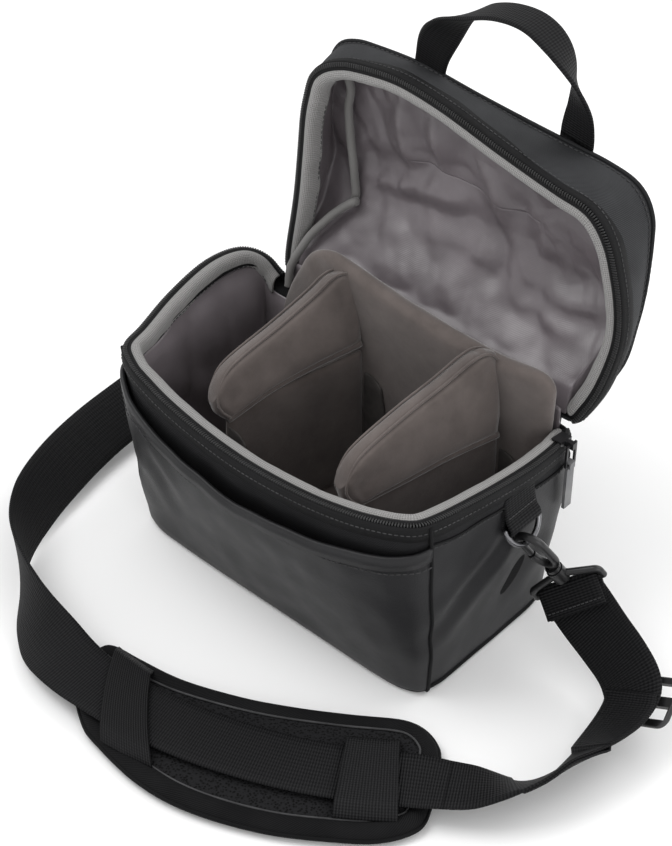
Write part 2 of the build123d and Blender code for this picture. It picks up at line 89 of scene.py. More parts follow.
# ---- lid, open: the zip's edge and the top's seam, each from the left end over to the right, then the fold
LID_STRETCHES = (
    [(-113, 70, 138), (-109, 73, 175), (-108, 76, 206), (-108, 79, 232), (-106, 81, 248)],
    [(-103, 82, 259), (-94, 84, 268), (-80, 86, 274)],
    [(-61, 87, 277), (-37, 87, 279), (-2, 84, 277), (40, 80, 271), (83, 76, 266)],
    [(103, 75, 264), (114, 75, 255), (121, 75, 243)],
    [(127, 77, 216), (129, 78, 193), (128, 76, 174), (122, 72, 147), (112, 67, 124)],
    [(60, 69, 123.5), (0, 69.5, 123.5), (-60, 69, 123.5), (-111, 66, 124)],
)
SEAM_STRETCHES = (
    [(-112, 106, 145), (-114, 109, 178), (-115, 110, 206), (-115, 111, 232), (-114, 111, 248)],
    [(-111, 111, 259), (-103, 111, 268), (-90, 111, 273)],
    [(-61, 111.5, 275), (-37, 112, 275), (-2, 112, 272), (40, 112, 269.5), (86, 111.5, 268)],
    [(106, 111, 265), (116, 111, 257), (121, 111, 245)],
    [(122, 110, 220), (121, 110, 196), (119, 109, 176), (116, 106, 150), (109, 100, 131)],
    [(60, 98, 128), (0, 98, 128), (-60, 98, 128), (-108, 100, 131)],
)
LID_STEPS = (44, 14, 60, 14, 44, 60)

# ---- strap, as it lies: x, y, z and roll in degrees, the same stops as the frame's own ribbon ------
STRAP_ROUTE = [
    (150, 29, 40, 46), (174, 22, 32.5, 56), (197, 15, 27, 52), (213, 4, 22.5, 36), (217, -14, 19, 38),
    (216, -38, 17.5, 48), (212, -62, 18.2, 62), (204, -84, 16, 45), (184, -101, 13.6, 12),
    (158, -116, 12.6, 0), (130, -136, 12.6, 0), (98, -154.5, 12.6, 0), (58, -171, 12.6, 0),
    (17, -182, 12.6, 0), (-22, -187, 12.8, 0), (-53, -187, 17, -14), (-82, -180, 19, -50),
    (-111, -164, 21, -80), (-138, -144, 21.5, -102), (-158, -114, 20.5, -124), (-172, -76, 19, -140),
    (-180, -42, 18, -148), (-182, -14, 19, -150), (-177, 9, 26, -145), (-166, 25, 34.5, -135),
    (-150, 29, 40, -128),
]
STRAP_WIDTH, STRAP_THICKNESS, STRAP_LENGTH = 38.0, 1.6, 742.0
# Where the strap turns over the slide's bar, which way the bar lies, and the steps of the turned layer.
TURN_PLACE, TURN_BAR, TURN_STEPS = (213.0, 4.0, 22.5), (0.866, 0.0, 0.5), 58
PAD_ENDS, PAD_SAG = ((-46.0, -184.0), (163.0, -108.0)), 24.0
PAD_OUTLINE = [
    (-48, -160), (-47, -175), (-37, -191), (-12, -207), (2, -211), (39, -215), (74, -210), (115, -193),
    (149, -170), (164, -157), (173, -142), (173, -128), (152, -93), (145, -86), (133, -82), (119, -85),
    (90, -105), (52, -128), (9, -146), (-22, -152), (-40, -154), (-46, -156),
]

# The bars of the two swivels that the strap's ends go round: place and direction.
RIGHT_BAR_PLACE, RIGHT_BAR = (145.7, 28.7, 46.6), (0.693, 0.464, 0.549)
LEFT_BAR_PLACE, LEFT_BAR = (-145.7, 28.7, 46.6), (-0.693, 0.464, 0.549)


# ---- curves and meshes --------------------------------------------------------------------------
def reach_along(line):
    """How far along the line each of its points is."""
    return np.concatenate([[0], np.cumsum(np.linalg.norm(np.diff(line, axis=0), axis=1))])


def at_marks(marks, reach, line):
    """The line's values at marks of its reach."""
    return np.stack([np.interp(marks, reach, line[:, axis]) for axis in range(line.shape[1])], 1)


def resample(line, count):
    """The line cut into equal steps."""
    reach = reach_along(line)
    return at_marks(np.linspace(0, reach[-1], count + 1), reach, line)


def smooth_line(points, count):
    """A smooth line through the points, cut into equal steps."""
    knots = np.array(points, float)
    padded = np.vstack([2 * knots[0] - knots[1], knots, 2 * knots[-1] - knots[-2]])
    dense = []
    for a, b, c, d in zip(padded, padded[1:], padded[2:], padded[3:]):
        for share in np.linspace(0, 1, 24, endpoint=False):
            dense.append(
                0.5 * (2 * b + (c - a) * share + (2 * a - 5 * b + 4 * c - d) * share ** 2
                       + (3 * b - a - 3 * c + d) * share ** 3)
            )
    dense = np.array(dense + [knots[-1]])
    return resample(dense, count)


def unit(vectors):
    """The same vectors with a length of one."""
    return vectors / np.linalg.norm(vectors, axis=-1)[..., None]


def ease(values, times):
    """Values round a closed loop, averaged with their neighbours a few times."""
    for _ in range(times):
        values = (np.roll(values, 1, 0) + 2 * values + np.roll(values, -1, 0)) / 4
    return values


def smooth_loop(stretches, steps):
    """A closed loop made of stretches, each of which starts at the end of the one before it."""
    lines = []
    for number, (points, count) in enumerate(zip(stretches, steps)):
        lines.append(smooth_line([stretches[number - 1][-1], *points], count)[:-1])
    return ease(np.vstack(lines), 3)


def loop_normals(loop, axis, times):
    """Outward normals of a closed loop, square to the axis that the loop runs round."""
    along = np.roll(loop, -1, 0) - np.roll(loop, 1, 0)
    return unit(ease(unit(np.cross(along, axis)), times))


def smooth_step(value):
    value = np.clip(value, 0, 1)
    return value * value * (3 - 2 * value)


def make_object(name, vertices, faces, uvs=None):
    mesh = bpy.data.meshes.new(name)
    mesh.from_pydata([tuple(point) for point in np.asarray(vertices, float) * MM], [], faces)
    mesh.validate()
    if uvs is not None:
        layer = mesh.uv_layers.new(name="weave")
        for loop in mesh.loops:
            layer.data[loop.index].uv = uvs[loop.vertex_index]
    piece = bpy.data.objects.new(name, mesh)
    bpy.context.scene.collection.objects.link(piece)
    for polygon in mesh.polygons:
        polygon.use_smooth = True
    return piece


def grid_faces(rows, columns, closed):
    faces = []
    for row in range(rows - 1):
        for column in range(columns if closed else columns - 1):
            after = (column + 1) % columns
            faces.append((row * columns + column, row * columns + after,
                          (row + 1) * columns + after, (row + 1) * columns + column))
    return faces


def grid_piece(name, grid, closed=False, flip=False):
    """A skin from a grid of points: rows of columns. Its UVs are lengths in metres along both ways."""
    rows, columns = grid.shape[:2]
    faces = grid_faces(rows, columns, closed)
    if flip:
        faces = [face[::-1] for face in faces]
    across = np.zeros((rows, columns))
    across[:, 1:] = np.cumsum(np.linalg.norm(np.diff(grid, axis=1), axis=2), axis=1)
    up = np.zeros((rows, columns))
    up[1:] = np.cumsum(np.linalg.norm(np.diff(grid, axis=0), axis=2), axis=0)
    uvs = np.stack([across.mean(0)[None].repeat(rows, 0), up.mean(1)[:, None].repeat(columns, 1)], 2)
    return make_object(name, grid.reshape(-1, 3), faces, (uvs * MM).reshape(-1, 2).tolist())


def solidify(piece, thickness, offset=-1.0, even=True):
    modifier = piece.modifiers.new("thickness", "SOLIDIFY")
    modifier.thickness = thickness * MM
    modifier.offset = offset
    modifier.use_even_offset = even
    return piece


def subdivide(piece):
    modifier = piece.modifiers.new("smooth", "SUBSURF")
    modifier.levels = 1
    modifier.render_levels = 1
    return piece


def apply_modifiers(piece):
    depsgraph = bpy.context.evaluated_depsgraph_get()
    mesh = bpy.data.meshes.new_from_object(piece.evaluated_get(depsgraph))
    piece.modifiers.clear()
    piece.data = mesh
    for polygon in mesh.polygons:
        polygon.use_smooth = True
    return piece


def crease(points, start, end, depth, width, towards):
    """Press a soft fold into the points along a line, towards a direction, with a low ridge beside it."""
    start, end = np.array(start, float), np.array(end, float)
    line = end - start
    share = np.clip(((points - start) @ line) / (line @ line), 0, 1)
    away = np.linalg.norm(points - (start + share[..., None] * line), axis=-1)
    taper = np.sin(np.pi * np.clip(share, 0.02, 0.98)) ** 0.6
    ridge = 0.45 * np.exp(-((away - 1.9 * width) / width) ** 2)
    press = depth * taper * (np.exp(-(away / width) ** 2) - ridge)
    return points + press[..., None] * np.array(towards, float)


def ripple(points, amount, scale, seed):
    """How far a soft surface stands in or out at each point, from smooth noise."""
    flat = points.reshape(-1, 3)
    values = [noise.noise(Vector(point / scale) + Vector((seed, seed * 2.3, seed * 0.7))) for point in flat]
    return amount * np.array(values).reshape(points.shape[:-1])


def ribbon_piece(name, centres, across, width, thickness):
    """A flat woven band of even width with softly rounded edges, along a line."""
    centres, across = np.asarray(centres, float), unit(np.asarray(across, float))
    up = unit(np.cross(across, unit(np.gradient(centres, axis=0))))
    half, thin = width / 2, thickness / 2
    marks = np.linspace(-1, 1, 9)
    section = [(mark * (half - thin), thin) for mark in marks] + [(half, 0)]
    section += [(mark * (half - thin), -thin) for mark in marks[::-1]] + [(-half, 0)]
    section = np.array(section)
    grid = centres[:, None] + section[None, :, :1] * across[:, None] + section[None, :, 1:] * up[:, None]
    count, ring = len(centres), len(section)
    faces = grid_faces(count, ring, True)
    faces += [tuple(range(ring))[::-1], tuple((count - 1) * ring + k for k in range(ring))]
    uvs = np.stack([np.broadcast_to(section[None, :, 0], (count, ring)),
                    np.broadcast_to(reach_along(centres)[:, None], (count, ring))], 2)
    return make_object(name, grid.reshape(-1, 3), faces, (uvs * MM).reshape(-1, 2).tolist())


def tube_piece(name, line, radius, sides=10, closed=False):
    """A round tube along a line, closed at its ends, or joined to itself where the line is closed."""
    line = np.asarray(line, float)
    along = unit(np.roll(line, -1, 0) - np.roll(line, 1, 0) if closed else np.gradient(line, axis=0))
    side = unit(np.cross(along, [0.03, 0.02, 1.0]))
    up = np.cross(side, along)
    turns = np.linspace(0, 2 * np.pi, sides, endpoint=False)[None, :, None]
    grid = line[:, None] + radius * (np.cos(turns) * side[:, None] + np.sin(turns) * up[:, None])
    faces = grid_faces(len(line), sides, True)
    last = (len(line) - 1) * sides
    if closed:
        faces += [(last + k, last + (k + 1) % sides, (k + 1) % sides, k) for k in range(sides)]
    else:
        faces += [tuple(range(sides))[::-1], tuple(last + k for k in range(sides))]
    return make_object(name, grid.reshape(-1, 3), faces)


BEAD_CORNERS = ((-0.5, -0.3), (-0.3, -0.5), (0.3, -0.5), (0.5, -0.3),
                (0.5, 0.3), (0.3, 0.5), (-0.3, 0.5), (-0.5, 0.3))


def bead_row(name, line, outward, pitch, size):
    """A row of small rounded bars across a line: zip teeth or stitches. Size is along, across, high."""
    line = np.asarray(line, float)
    reach = reach_along(line)
    count = int(reach[-1] / pitch)
    marks = (np.arange(count) + 0.5) * reach[-1] / count
    places = at_marks(marks, reach, line)
    ahead = at_marks(marks + 0.3, reach, line) - places
    behind = places - at_marks(marks - 0.3, reach, line)
    along = unit(ahead + behind)
    sides = at_marks(marks, reach, np.asarray(outward))
    sides = unit(sides - (sides * along).sum(1)[:, None] * along)
    up = np.cross(along, sides)
    length, width, height = size
    vertices, faces = [], []
    for place, forward, side, rise in zip(places, along, sides, up):
        first = len(vertices)
        for across, shrink in ((-0.5, 0.6), (-0.32, 1.0), (0.32, 1.0), (0.5, 0.6)):
            for a, b in BEAD_CORNERS:
                corner = place + forward * a * length * shrink + side * across * width
                vertices.append(corner + rise * b * height * shrink)
        for low in range(first, first + 24, 8):
            for k in range(8):
                after = (k + 1) % 8
                faces.append((low + k, low + after, low + 8 + after, low + 8 + k))
        faces.append(tuple(first + k for k in range(8))[::-1])
        faces.append(tuple(first + 24 + k for k in range(8)))
    return make_object(name, vertices, faces)


# ---- materials ----------------------------------------------------------------------------------
class Shader:
    """A principled material with short ways to add nodes."""

    def __init__(self, name, roughness, specular=0.5, metallic=0.0, sheen=0.0, coat=0.0):
        self.material = bpy.data.materials.new(name)
        self.material.use_nodes = True
        self.tree = self.material.node_tree
        self.principled = self.tree.nodes["Principled BSDF"]
        values = {"Roughness": roughness, "Specular IOR Level": specular, "Metallic": metallic,
                  "Sheen Weight": sheen, "Sheen Roughness": 0.45, "Coat Weight": coat}
        for socket, value in values.items():
            self.principled.inputs[socket].default_value = value
        self.heights = []

    def node(self, kind, **settings):
        node = self.tree.nodes.new(kind)
        for key, value in settings.items():
            setattr(node, key, value)
        return node

    def link(self, source, target):
        self.tree.links.new(source, target)

    def coordinates(self, space="Object"):
        return self.node("ShaderNodeTexCoord").outputs[space]

    def reading(self, kind, source, output, values, **settings):
        """Add a node that reads the source, with these input values, and give its output."""
        node = self.node(kind, **settings)
        for name, value in values.items():
            node.inputs[name].default_value = value
        self.link(source, node.inputs["Vector"])
        return node.outputs[output]

    def turned(self, source, turn):
        return self.reading("ShaderNodeMapping", source, "Vector", {"Rotation": (0, 0, turn)})

    def noise_map(self, scale, detail=3.0, rough=0.55):
        values = {"Scale": scale, "Detail": detail, "Roughness": rough}
        return self.reading("ShaderNodeTexNoise", self.coordinates(), "Fac", values)

    def cells(self, scale):
        return self.reading("ShaderNodeTexVoronoi", self.coordinates(), "Distance", {"Scale": scale})

    def waves(self, scale, source, direction="X"):
        return self.reading("ShaderNodeTexWave", source, "Fac", {"Scale": scale},
                            wave_type="BANDS", bands_direction=direction)

    def math(self, operation, first, second):
        node = self.node("ShaderNodeMath", operation=operation)
        for socket, value in zip(node.inputs, (first, second)):
            if isinstance(value, (int, float)):
                socket.default_value = value
            else:
                self.link(value, socket)
        return node.outputs[0]

    def colour(self, factor, dark, light, low=0.3, high=0.7):
        ramp = self.node("ShaderNodeValToRGB")
        ramp.color_ramp.elements[0].position = low
        ramp.color_ramp.elements[0].color = (*dark, 1)
        ramp.color_ramp.elements[1].position = high
        ramp.color_ramp.elements[1].color = (*light, 1)
        self.link(factor, ramp.inputs["Fac"])
        self.link(ramp.outputs["Color"], self.principled.inputs["Base Color"])

    def rough_range(self, factor, low, high):
        spread = self.node("ShaderNodeMapRange")
        spread.inputs["To Min"].default_value = low
        spread.inputs["To Max"].default_value = high
        self.link(factor, spread.inputs["Value"])
        self.link(spread.outputs["Result"], self.principled.inputs["Roughness"])

    def bump(self, height, strength, distance):
        node = self.node("ShaderNodeBump")
        node.inputs["Strength"].default_value = strength
        node.inputs["Distance"].default_value = distance * MM
        self.link(height, node.inputs["Height"])
        if self.heights:
            self.link(self.heights[-1], node.inputs["Normal"])
        self.heights.append(node.outputs["Normal"])
        self.link(node.outputs["Normal"], self.principled.inputs["Normal"])


def coated_fabric():
    shader = Shader("coated_fabric", 0.5, specular=0.3)
    grain = shader.cells(1500)
    cloud = shader.noise_map(28, detail=4)
    shader.colour(cloud, (0.009, 0.009, 0.010), (0.016, 0.016, 0.0175), 0.3, 0.75)
    shader.rough_range(shader.noise_map(60), 0.4, 0.56)
    shader.bump(grain, 0.35, 0.25)
    shader.bump(shader.noise_map(240), 0.25, 0.4)
    return shader.material


def twill(name, dark, light, scale=1.0, roughness=0.72, specular=0.18):
    """Woven nylon: a fine diagonal rib over crossing threads."""
    shader = Shader(name, roughness, specular=specular)
    diagonal = shader.waves(360 * scale, shader.turned(shader.coordinates("UV"), 0.9))
    threads = shader.waves(520 * scale, shader.coordinates("UV"), "Y")
    weave = shader.math("ADD", diagonal, shader.math("MULTIPLY", threads, 0.4))
    cloud = shader.math("MULTIPLY", shader.noise_map(40), 0.5)
    tone = shader.math("ADD", shader.math("MULTIPLY", weave, 0.5), cloud)
    shader.colour(tone, dark, light, 0.3, 0.85)
    shader.bump(weave, 0.5, 0.25)
    shader.bump(shader.noise_map(300), 0.2, 0.3)
    return shader.material


def webbing(name, dark, light, rib=2.6):
    """Ribbed webbing: ridges along its length, crossed by tight weft threads."""
    shader = Shader(name, 0.62, specular=0.14)
    place = shader.coordinates("UV")
    ridges = shader.waves(314.0 / rib, place, "X")
    weft = shader.waves(314.0 / 1.6, place, "Y")
    weave = shader.math("ADD", shader.math("MULTIPLY", ridges, 0.45), weft)
    shader.colour(shader.math("MULTIPLY", weave, 0.7), dark, light, 0.15, 0.95)
    shader.bump(weave, 0.8, 0.45)
    shader.bump(shader.noise_map(900), 0.25, 0.2)
    return shader.material


def fleece():
    shader = Shader("fleece", 0.95, specular=0.1, sheen=0.45)
    cloud = shader.noise_map(45, detail=6, rough=0.65)
    shader.colour(cloud, (0.092, 0.077, 0.072), (0.142, 0.120, 0.112), 0.3, 0.72)
    shader.bump(shader.noise_map(1400, detail=5, rough=0.7), 0.6, 0.35)
    shader.bump(shader.noise_map(160, detail=4), 0.35, 0.5)
    return shader.material


def satin(name, dark, light):
    shader = Shader(name, 0.34, specular=0.6)
    place = shader.coordinates("UV")
    weave = shader.math("ADD", shader.waves(420, place, "X"), shader.waves(420, place, "Y"))
    cloud = shader.noise_map(30, detail=4)
    shader.colour(cloud, dark, light, 0.3, 0.72)
    shader.rough_range(shader.noise_map(70), 0.26, 0.42)
    shader.bump(weave, 0.25, 0.15)
    shader.bump(shader.noise_map(55, detail=4), 0.35, 1.4)
    return shader.material


def binding():
    shader = Shader("binding", 0.75, specular=0.25, sheen=0.2)
    place = shader.coordinates("UV")
    weave = shader.math("ADD", shader.waves(250, place, "X"), shader.waves(330, place, "Y"))
    shader.colour(weave, (0.17, 0.166, 0.162), (0.31, 0.305, 0.30), 0.4, 1.5)
    shader.bump(weave, 0.8, 0.4)
    return shader.material


def black_metal(name, tone, roughness, metallic):
    shader = Shader(name, roughness, metallic=metallic, coat=0.2)
    wear = shader.noise_map(120, detail=5)
    shader.colour(wear, tuple(0.8 * part for part in tone), tone, 0.35, 0.75)
    shader.rough_range(shader.noise_map(300), roughness - 0.08, roughness + 0.1)
    shader.bump(shader.noise_map(700), 0.12, 0.15)
    return shader.material


def plastic(name, dark, light, roughness):
    shader = Shader(name, roughness)
    shader.colour(shader.noise_map(90), dark, light)
    shader.rough_range(shader.noise_map(250), roughness - 0.06, roughness + 0.08)
    shader.bump(shader.noise_map(1100), 0.2, 0.12)
    return shader.material


def mesh_fabric():
    """Open air mesh: small round holes in a knitted face."""
    shader = Shader("air_mesh", 0.85, specular=0.1)
    holes = shader.cells(620)
    shader.colour(holes, (0.003, 0.003, 0.003), (0.013, 0.013, 0.014), 0.25, 0.5)
    shader.bump(holes, 0.9, 0.6)
    shader.bump(shader.noise_map(500), 0.2, 0.3)
    return shader.material


MATERIALS = {
    "coated_fabric": coated_fabric(),
    "nylon_twill": twill("nylon_twill", (0.013, 0.0135, 0.0145), (0.043, 0.044, 0.047)),
    "rim_nylon": twill("rim_nylon", (0.004, 0.004, 0.0045), (0.016, 0.016, 0.0175), 1.1),
    "zip_tape": twill("zip_tape", (0.003, 0.003, 0.003), (0.011, 0.011, 0.012), 1.6),
    "webbing": webbing("webbing", (0.002, 0.002, 0.0025), (0.015, 0.015, 0.016)),
    "pad_fabric": twill("pad_fabric", (0.002, 0.002, 0.0025), (0.012, 0.012, 0.0125), 0.8, 0.85, 0.1),
    "pad_mesh": mesh_fabric(),
    "fleece": fleece(),
    "satin": satin("satin", (0.115, 0.100, 0.108), (0.165, 0.145, 0.156)),
    "body_lining": satin("body_lining", (0.125, 0.110, 0.118), (0.18, 0.160, 0.170)),
    "band_elastic": webbing("band_elastic", (0.003, 0.003, 0.0035), (0.017, 0.017, 0.018), 1.6),
    "binding": binding(),
    "hook_tape": plastic("hook_tape", (0.035, 0.031, 0.03), (0.07, 0.064, 0.06), 0.9),
    "zip_teeth": plastic("zip_teeth", (0.006, 0.006, 0.006), (0.014, 0.014, 0.015), 0.42),
    "buckle_plastic": plastic("buckle_plastic", (0.008, 0.008, 0.008), (0.016, 0.016, 0.017), 0.42),
    "pull_tab": plastic("pull_tab", (0.13, 0.13, 0.135), (0.2, 0.2, 0.2), 0.5),
    "hook_metal": black_metal("hook_metal", (0.02, 0.02, 0.021), 0.36, 0.4),
    "zip_metal": black_metal("zip_metal", (0.03, 0.03, 0.032), 0.32, 0.6),
    "ring_metal": black_metal("ring_metal", (0.20, 0.20, 0.21), 0.28, 1.0),
    "thread": plastic("thread", (0.02, 0.02, 0.021), (0.05, 0.05, 0.052), 0.75),
}


def dress(piece, material, body, slot, *replaced):
    """Give a piece its material, the body it rides on and the CAD nodes that it stands for. Its slot is not
    used.
    """
    piece.data.materials.clear()
    piece.data.materials.append(MATERIALS[material])
    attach(piece, body)
    if replaced:
        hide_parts(*replaced)
    return piece


def stitch(name, line, outward, pitch, size, body, slot):
    """A row of stitches in a cloth. The cloth's slot is not used."""
    dress(bead_row(name, line, outward, pitch, size), "thread", body, slot)


def join_bag_to_lid(piece, material, node):
    """Dress a finished piece of cloth that reaches from the bag to the lid: give it its material, bake its
    place into its points and hide the CAD node that it stands for.
    """
    piece.data.materials.clear()
    piece.data.materials.append(MATERIALS[material])
    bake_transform(piece)
    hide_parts(node)


# ---- camera, floor and light --------------------------------------------------------------------
def make_camera():
    turn, tip = math.radians(CAMERA_AZIMUTH), math.radians(CAMERA_ELEVATION)
    right = Vector((math.cos(turn), math.sin(turn), 0))
    back = Vector((math.sin(turn) * math.cos(tip), -math.cos(turn) * math.cos(tip), math.sin(tip)))
    up = back.cross(right)
    data = bpy.data.cameras.new("camera")
    data.lens = CAMERA_LENS
    data.sensor_width = 36.0
    camera = bpy.data.objects.new("camera", data)
    bpy.context.scene.collection.objects.link(camera)
    basis = Matrix((right, up, back)).transposed()
    camera.matrix_world = Matrix.Translation(Vector(CAMERA_PLACE) * MM) @ basis.to_4x4()
    bpy.context.scene.camera = camera


def make_stage():
    half = 3000
    corners = [(-half, -half, -0.2), (half, -half, -0.2), (half, half, -0.2), (-half, half, -0.2)]
    floor = make_object("floor", corners, [(0, 1, 2, 3)])
    shader = Shader("floor_paper", 0.9, specular=0.1)
    shader.principled.inputs["Base Color"].default_value = (0.93, 0.93, 0.93, 1)
    floor.data.materials.append(shader.material)
    world = bpy.data.worlds.new("studio")
    world.use_nodes = True
    world.node_tree.nodes["Background"].inputs["Color"].default_value = (1, 1, 1, 1)
    world.node_tree.nodes["Background"].inputs["Strength"].default_value = 0.82
    bpy.context.scene.world = world
    bpy.context.scene.view_settings.view_transform = "Standard"
    lights = (
        ("key", (-700, -500, 1500), 1.0, 12.0),
        ("back", (500, 1100, 1100), 1.2, 9.0),
        ("side", (1400, -300, 700), 0.9, 5.0),
    )
    for name, place, size, power in lights:
        data = bpy.data.lights.new(name, "AREA")
        data.size = size
        data.energy = power
        lamp = bpy.data.objects.new(name, data)
        lamp.location = Vector(place) * MM
        lamp.rotation_euler = (Vector((0, 0, 120)) - Vector(place)).to_track_quat("-Z", "Y").to_euler()
        bpy.context.scene.collection.objects.link(lamp)


# ---- body ---------------------------------------------------------------------------------------
base_loop = smooth_loop(BASE_STRETCHES, BODY_STEPS)
rim_loop = smooth_loop(RIM_STRETCHES, BODY_STEPS)
body_outward = loop_normals(rim_loop, UP, 4)
# Columns of the body: where the zip's run ends, and the front pocket's two ends.
OPEN_END = sum(BODY_STEPS[:5])
POCKET_START = BODY_STEPS[0] + 6
POCKET_END = sum(BODY_STEPS[:3]) + 9
PLAIN_HALF_WIDTH = 118.5
# How far inside the shell the lining hangs, and how far inside a rim the hem of its binding does.
LINING_INSET, HEM_INSET = 11.4, 9.9
# Folds in the shell: start, end, depth, width and the way they are pressed.
BODY_CREASES = (
    ((118, 8, 90), (114, -58, 50), 3.2, 7.0, (-1, 0, 0)),
    ((117, 40, 70), (115, 5, 30), 2.0, 9.0, (-1, 0, 0)),
    ((-90, -78, 100), (-60, -70, 40), 2.0, 8.0, (0, 1, 0)),
    ((-112, -40, 100), (-114, 10, 60), 2.4, 8.0, (1, 0, 0)),
    ((-104, -72, 110), (-86, -68, 60), 1.6, 6.0, (0, 1, 0)),
)


def body_wall(shares, offset=0.0):
    """Points of the body's outer skin at shares of its height, one column for each point of the rim."""
    shares = np.broadcast_to(shares, (len(shares), len(rim_loop)))[..., None]
    plain = rim_loop.copy()
    plain[:, 0] = np.clip(plain[:, 0], -PLAIN_HALF_WIDTH, PLAIN_HALF_WIDTH)
    grid = base_loop * (1 - shares) + plain * shares + (rim_loop - plain) * shares ** 8
    swell = 2.4 * np.sin(np.pi * shares[..., 0]) - 2.6 * np.clip(1 - grid[..., 2] / 4.5, 0, 1) ** 2
    fade = smooth_step(np.minimum(shares[..., 0], 1 - shares[..., 0]) * 7)
    swell = swell + fade * (ripple(grid, 2.2, 52.0, 4.0) + ripple(grid, 0.8, 19.0, 9.0))
    grid = grid + (swell + offset)[..., None] * body_outward
    for start, end, depth, width, towards in BODY_CREASES:
        grid = crease(grid, start, end, depth, width, towards)
    return grid


def seam_heights():
    """Where the nylon band under the zip meets the coated fabric, at each column."""
    x, y = rim_loop[:, 0], rim_loop[:, 1]
    sides = np.interp(y, (-72, -35, 46, 62), (126, 118, 108, 106))
    front = np.full(len(x), 82.0)
    heights = np.where((y < -70) & (np.abs(x) < 112), front, sides)
    return ease(heights, 5)


def pocket_mouth(x):
    return np.interp(x, (-116, -100, -60, 0, 60, 100, 118), (126, 121, 110, 102, 109, 118, 124))


def make_body():
    steps = np.linspace(0, 1, 34)[:, None]
    share = (seam_heights() / rim_loop[:, 2])[None]
    lower = grid_piece("body_lower_shell", body_wall(steps * share), closed=True)
    dress(solidify(lower, 1.4), "coated_fabric", "bag", "coated_fabric",
          "front_panel", "back_panel", "side_left_panel", "side_right_panel")
    band_steps = np.linspace(0, 1, 12)[:, None]
    band = grid_piece("body_rim_band", body_wall(share + (1 - share) * band_steps, 0.5), closed=True)
    dress(solidify(band, 1.2), "rim_nylon", "bag", "nylon_twill")
    make_base()
    make_body_seams(share)


def make_base():
    rings = [0.0, 0.05, 0.12, 0.3, 0.55, 0.8, 0.97]
    edge = body_wall(np.zeros((1, 1)))[0]
    middle = np.stack([edge[:, 0] * 0.35, edge[:, 1] * 0.02, 0 * edge[:, 2]], 1)
    grid = np.array([edge * (1 - ring) + middle * ring for ring in rings])
    grid[..., 2] = np.clip(1.2 * np.array(rings)[:, None] ** 0.5, 0, 0.9)
    base = grid_piece("base_skin", grid, closed=True, flip=True)
    dress(solidify(base, 1.2), "coated_fabric", "bag", "coated_fabric", "base_panel")
    piping = tube_piece("base_piping", body_wall(np.full((1, 1), 0.022), 0.2)[0], 1.3, closed=True)
    dress(piping, "rim_nylon", "bag", "binding")


def make_body_seams(share):
    line = body_wall(share, 0.9)[0]
    dress(tube_piece("band_seam", line, 0.75, 6, closed=True), "rim_nylon", "bag", "nylon_twill")
    below = body_wall(share - 0.022, 0.2)[0]
    stitch("band_stitches", below[:OPEN_END], body_outward[:OPEN_END], 3.6, (2.3, 0.6, 0.7),
           "bag", "coated_fabric")
    for side, column in (("left", POCKET_START), ("right", POCKET_END)):
        steps = np.linspace(0.01, 0.99, 50)[:, None]
        line = body_wall(steps, 2.0)[:, column]
        dress(tube_piece(f"corner_piping_{side}", line, 1.1, 8), "rim_nylon", "bag", "coated_fabric")


def make_pocket():
    columns = slice(POCKET_START, POCKET_END + 1)
    mouth = pocket_mouth(rim_loop[:, 0])
    share = (mouth / rim_loop[:, 2])[None]
    steps = np.linspace(0.012, 1, 30)[:, None]
    grid = body_wall(steps * share, 2.0)[:, columns]
    across = np.linspace(0, 1, grid.shape[1])
    gape = 7.5 * np.sin(np.pi * across) ** 0.8 * smooth_step((steps - 0.35) / 0.65)
    grid = grid + gape[..., None] * body_outward[columns]
    dress(solidify(grid_piece("front_pocket", grid), 1.3), "coated_fabric", "bag", "coated_fabric",
          "front_pocket_panel", "front_pocket_gusset")
    top, out = grid[-1], body_outward[columns]
    profile = [(-1.6, -9), (-1.8, -1.5), (-1.2, 0.6), (0.2, 1.0), (1.0, 0.2), (1.1, -4), (0.6, -8.6)]
    hem = rim_strip("pocket_hem", top, out, UP, profile)
    dress(solidify(hem, 0.5, 0.0), "coated_fabric", "bag", "coated_fabric")
    stitch("pocket_stitches", grid[-4] + out, out, 3.6, (2.3, 0.6, 0.7), "bag", "coated_fabric")


def rim_strip(name, line, outward, up, profile, wave=0.0, seed=1.0):
    """A strip along a rim whose section is a row of (outward, up) places. Its last places may wave."""
    rows = []
    for index, (out, rise) in enumerate(profile):
        share = index / (len(profile) - 1)
        shift = ripple(line, wave * share, 22.0, seed) + ripple(line, 0.5 * wave * share, 9.0, seed + 5)
        rows.append(line + (out + shift)[:, None] * outward + (rise + 0.4 * shift)[:, None] * up)
    return grid_piece(name, np.array(rows))


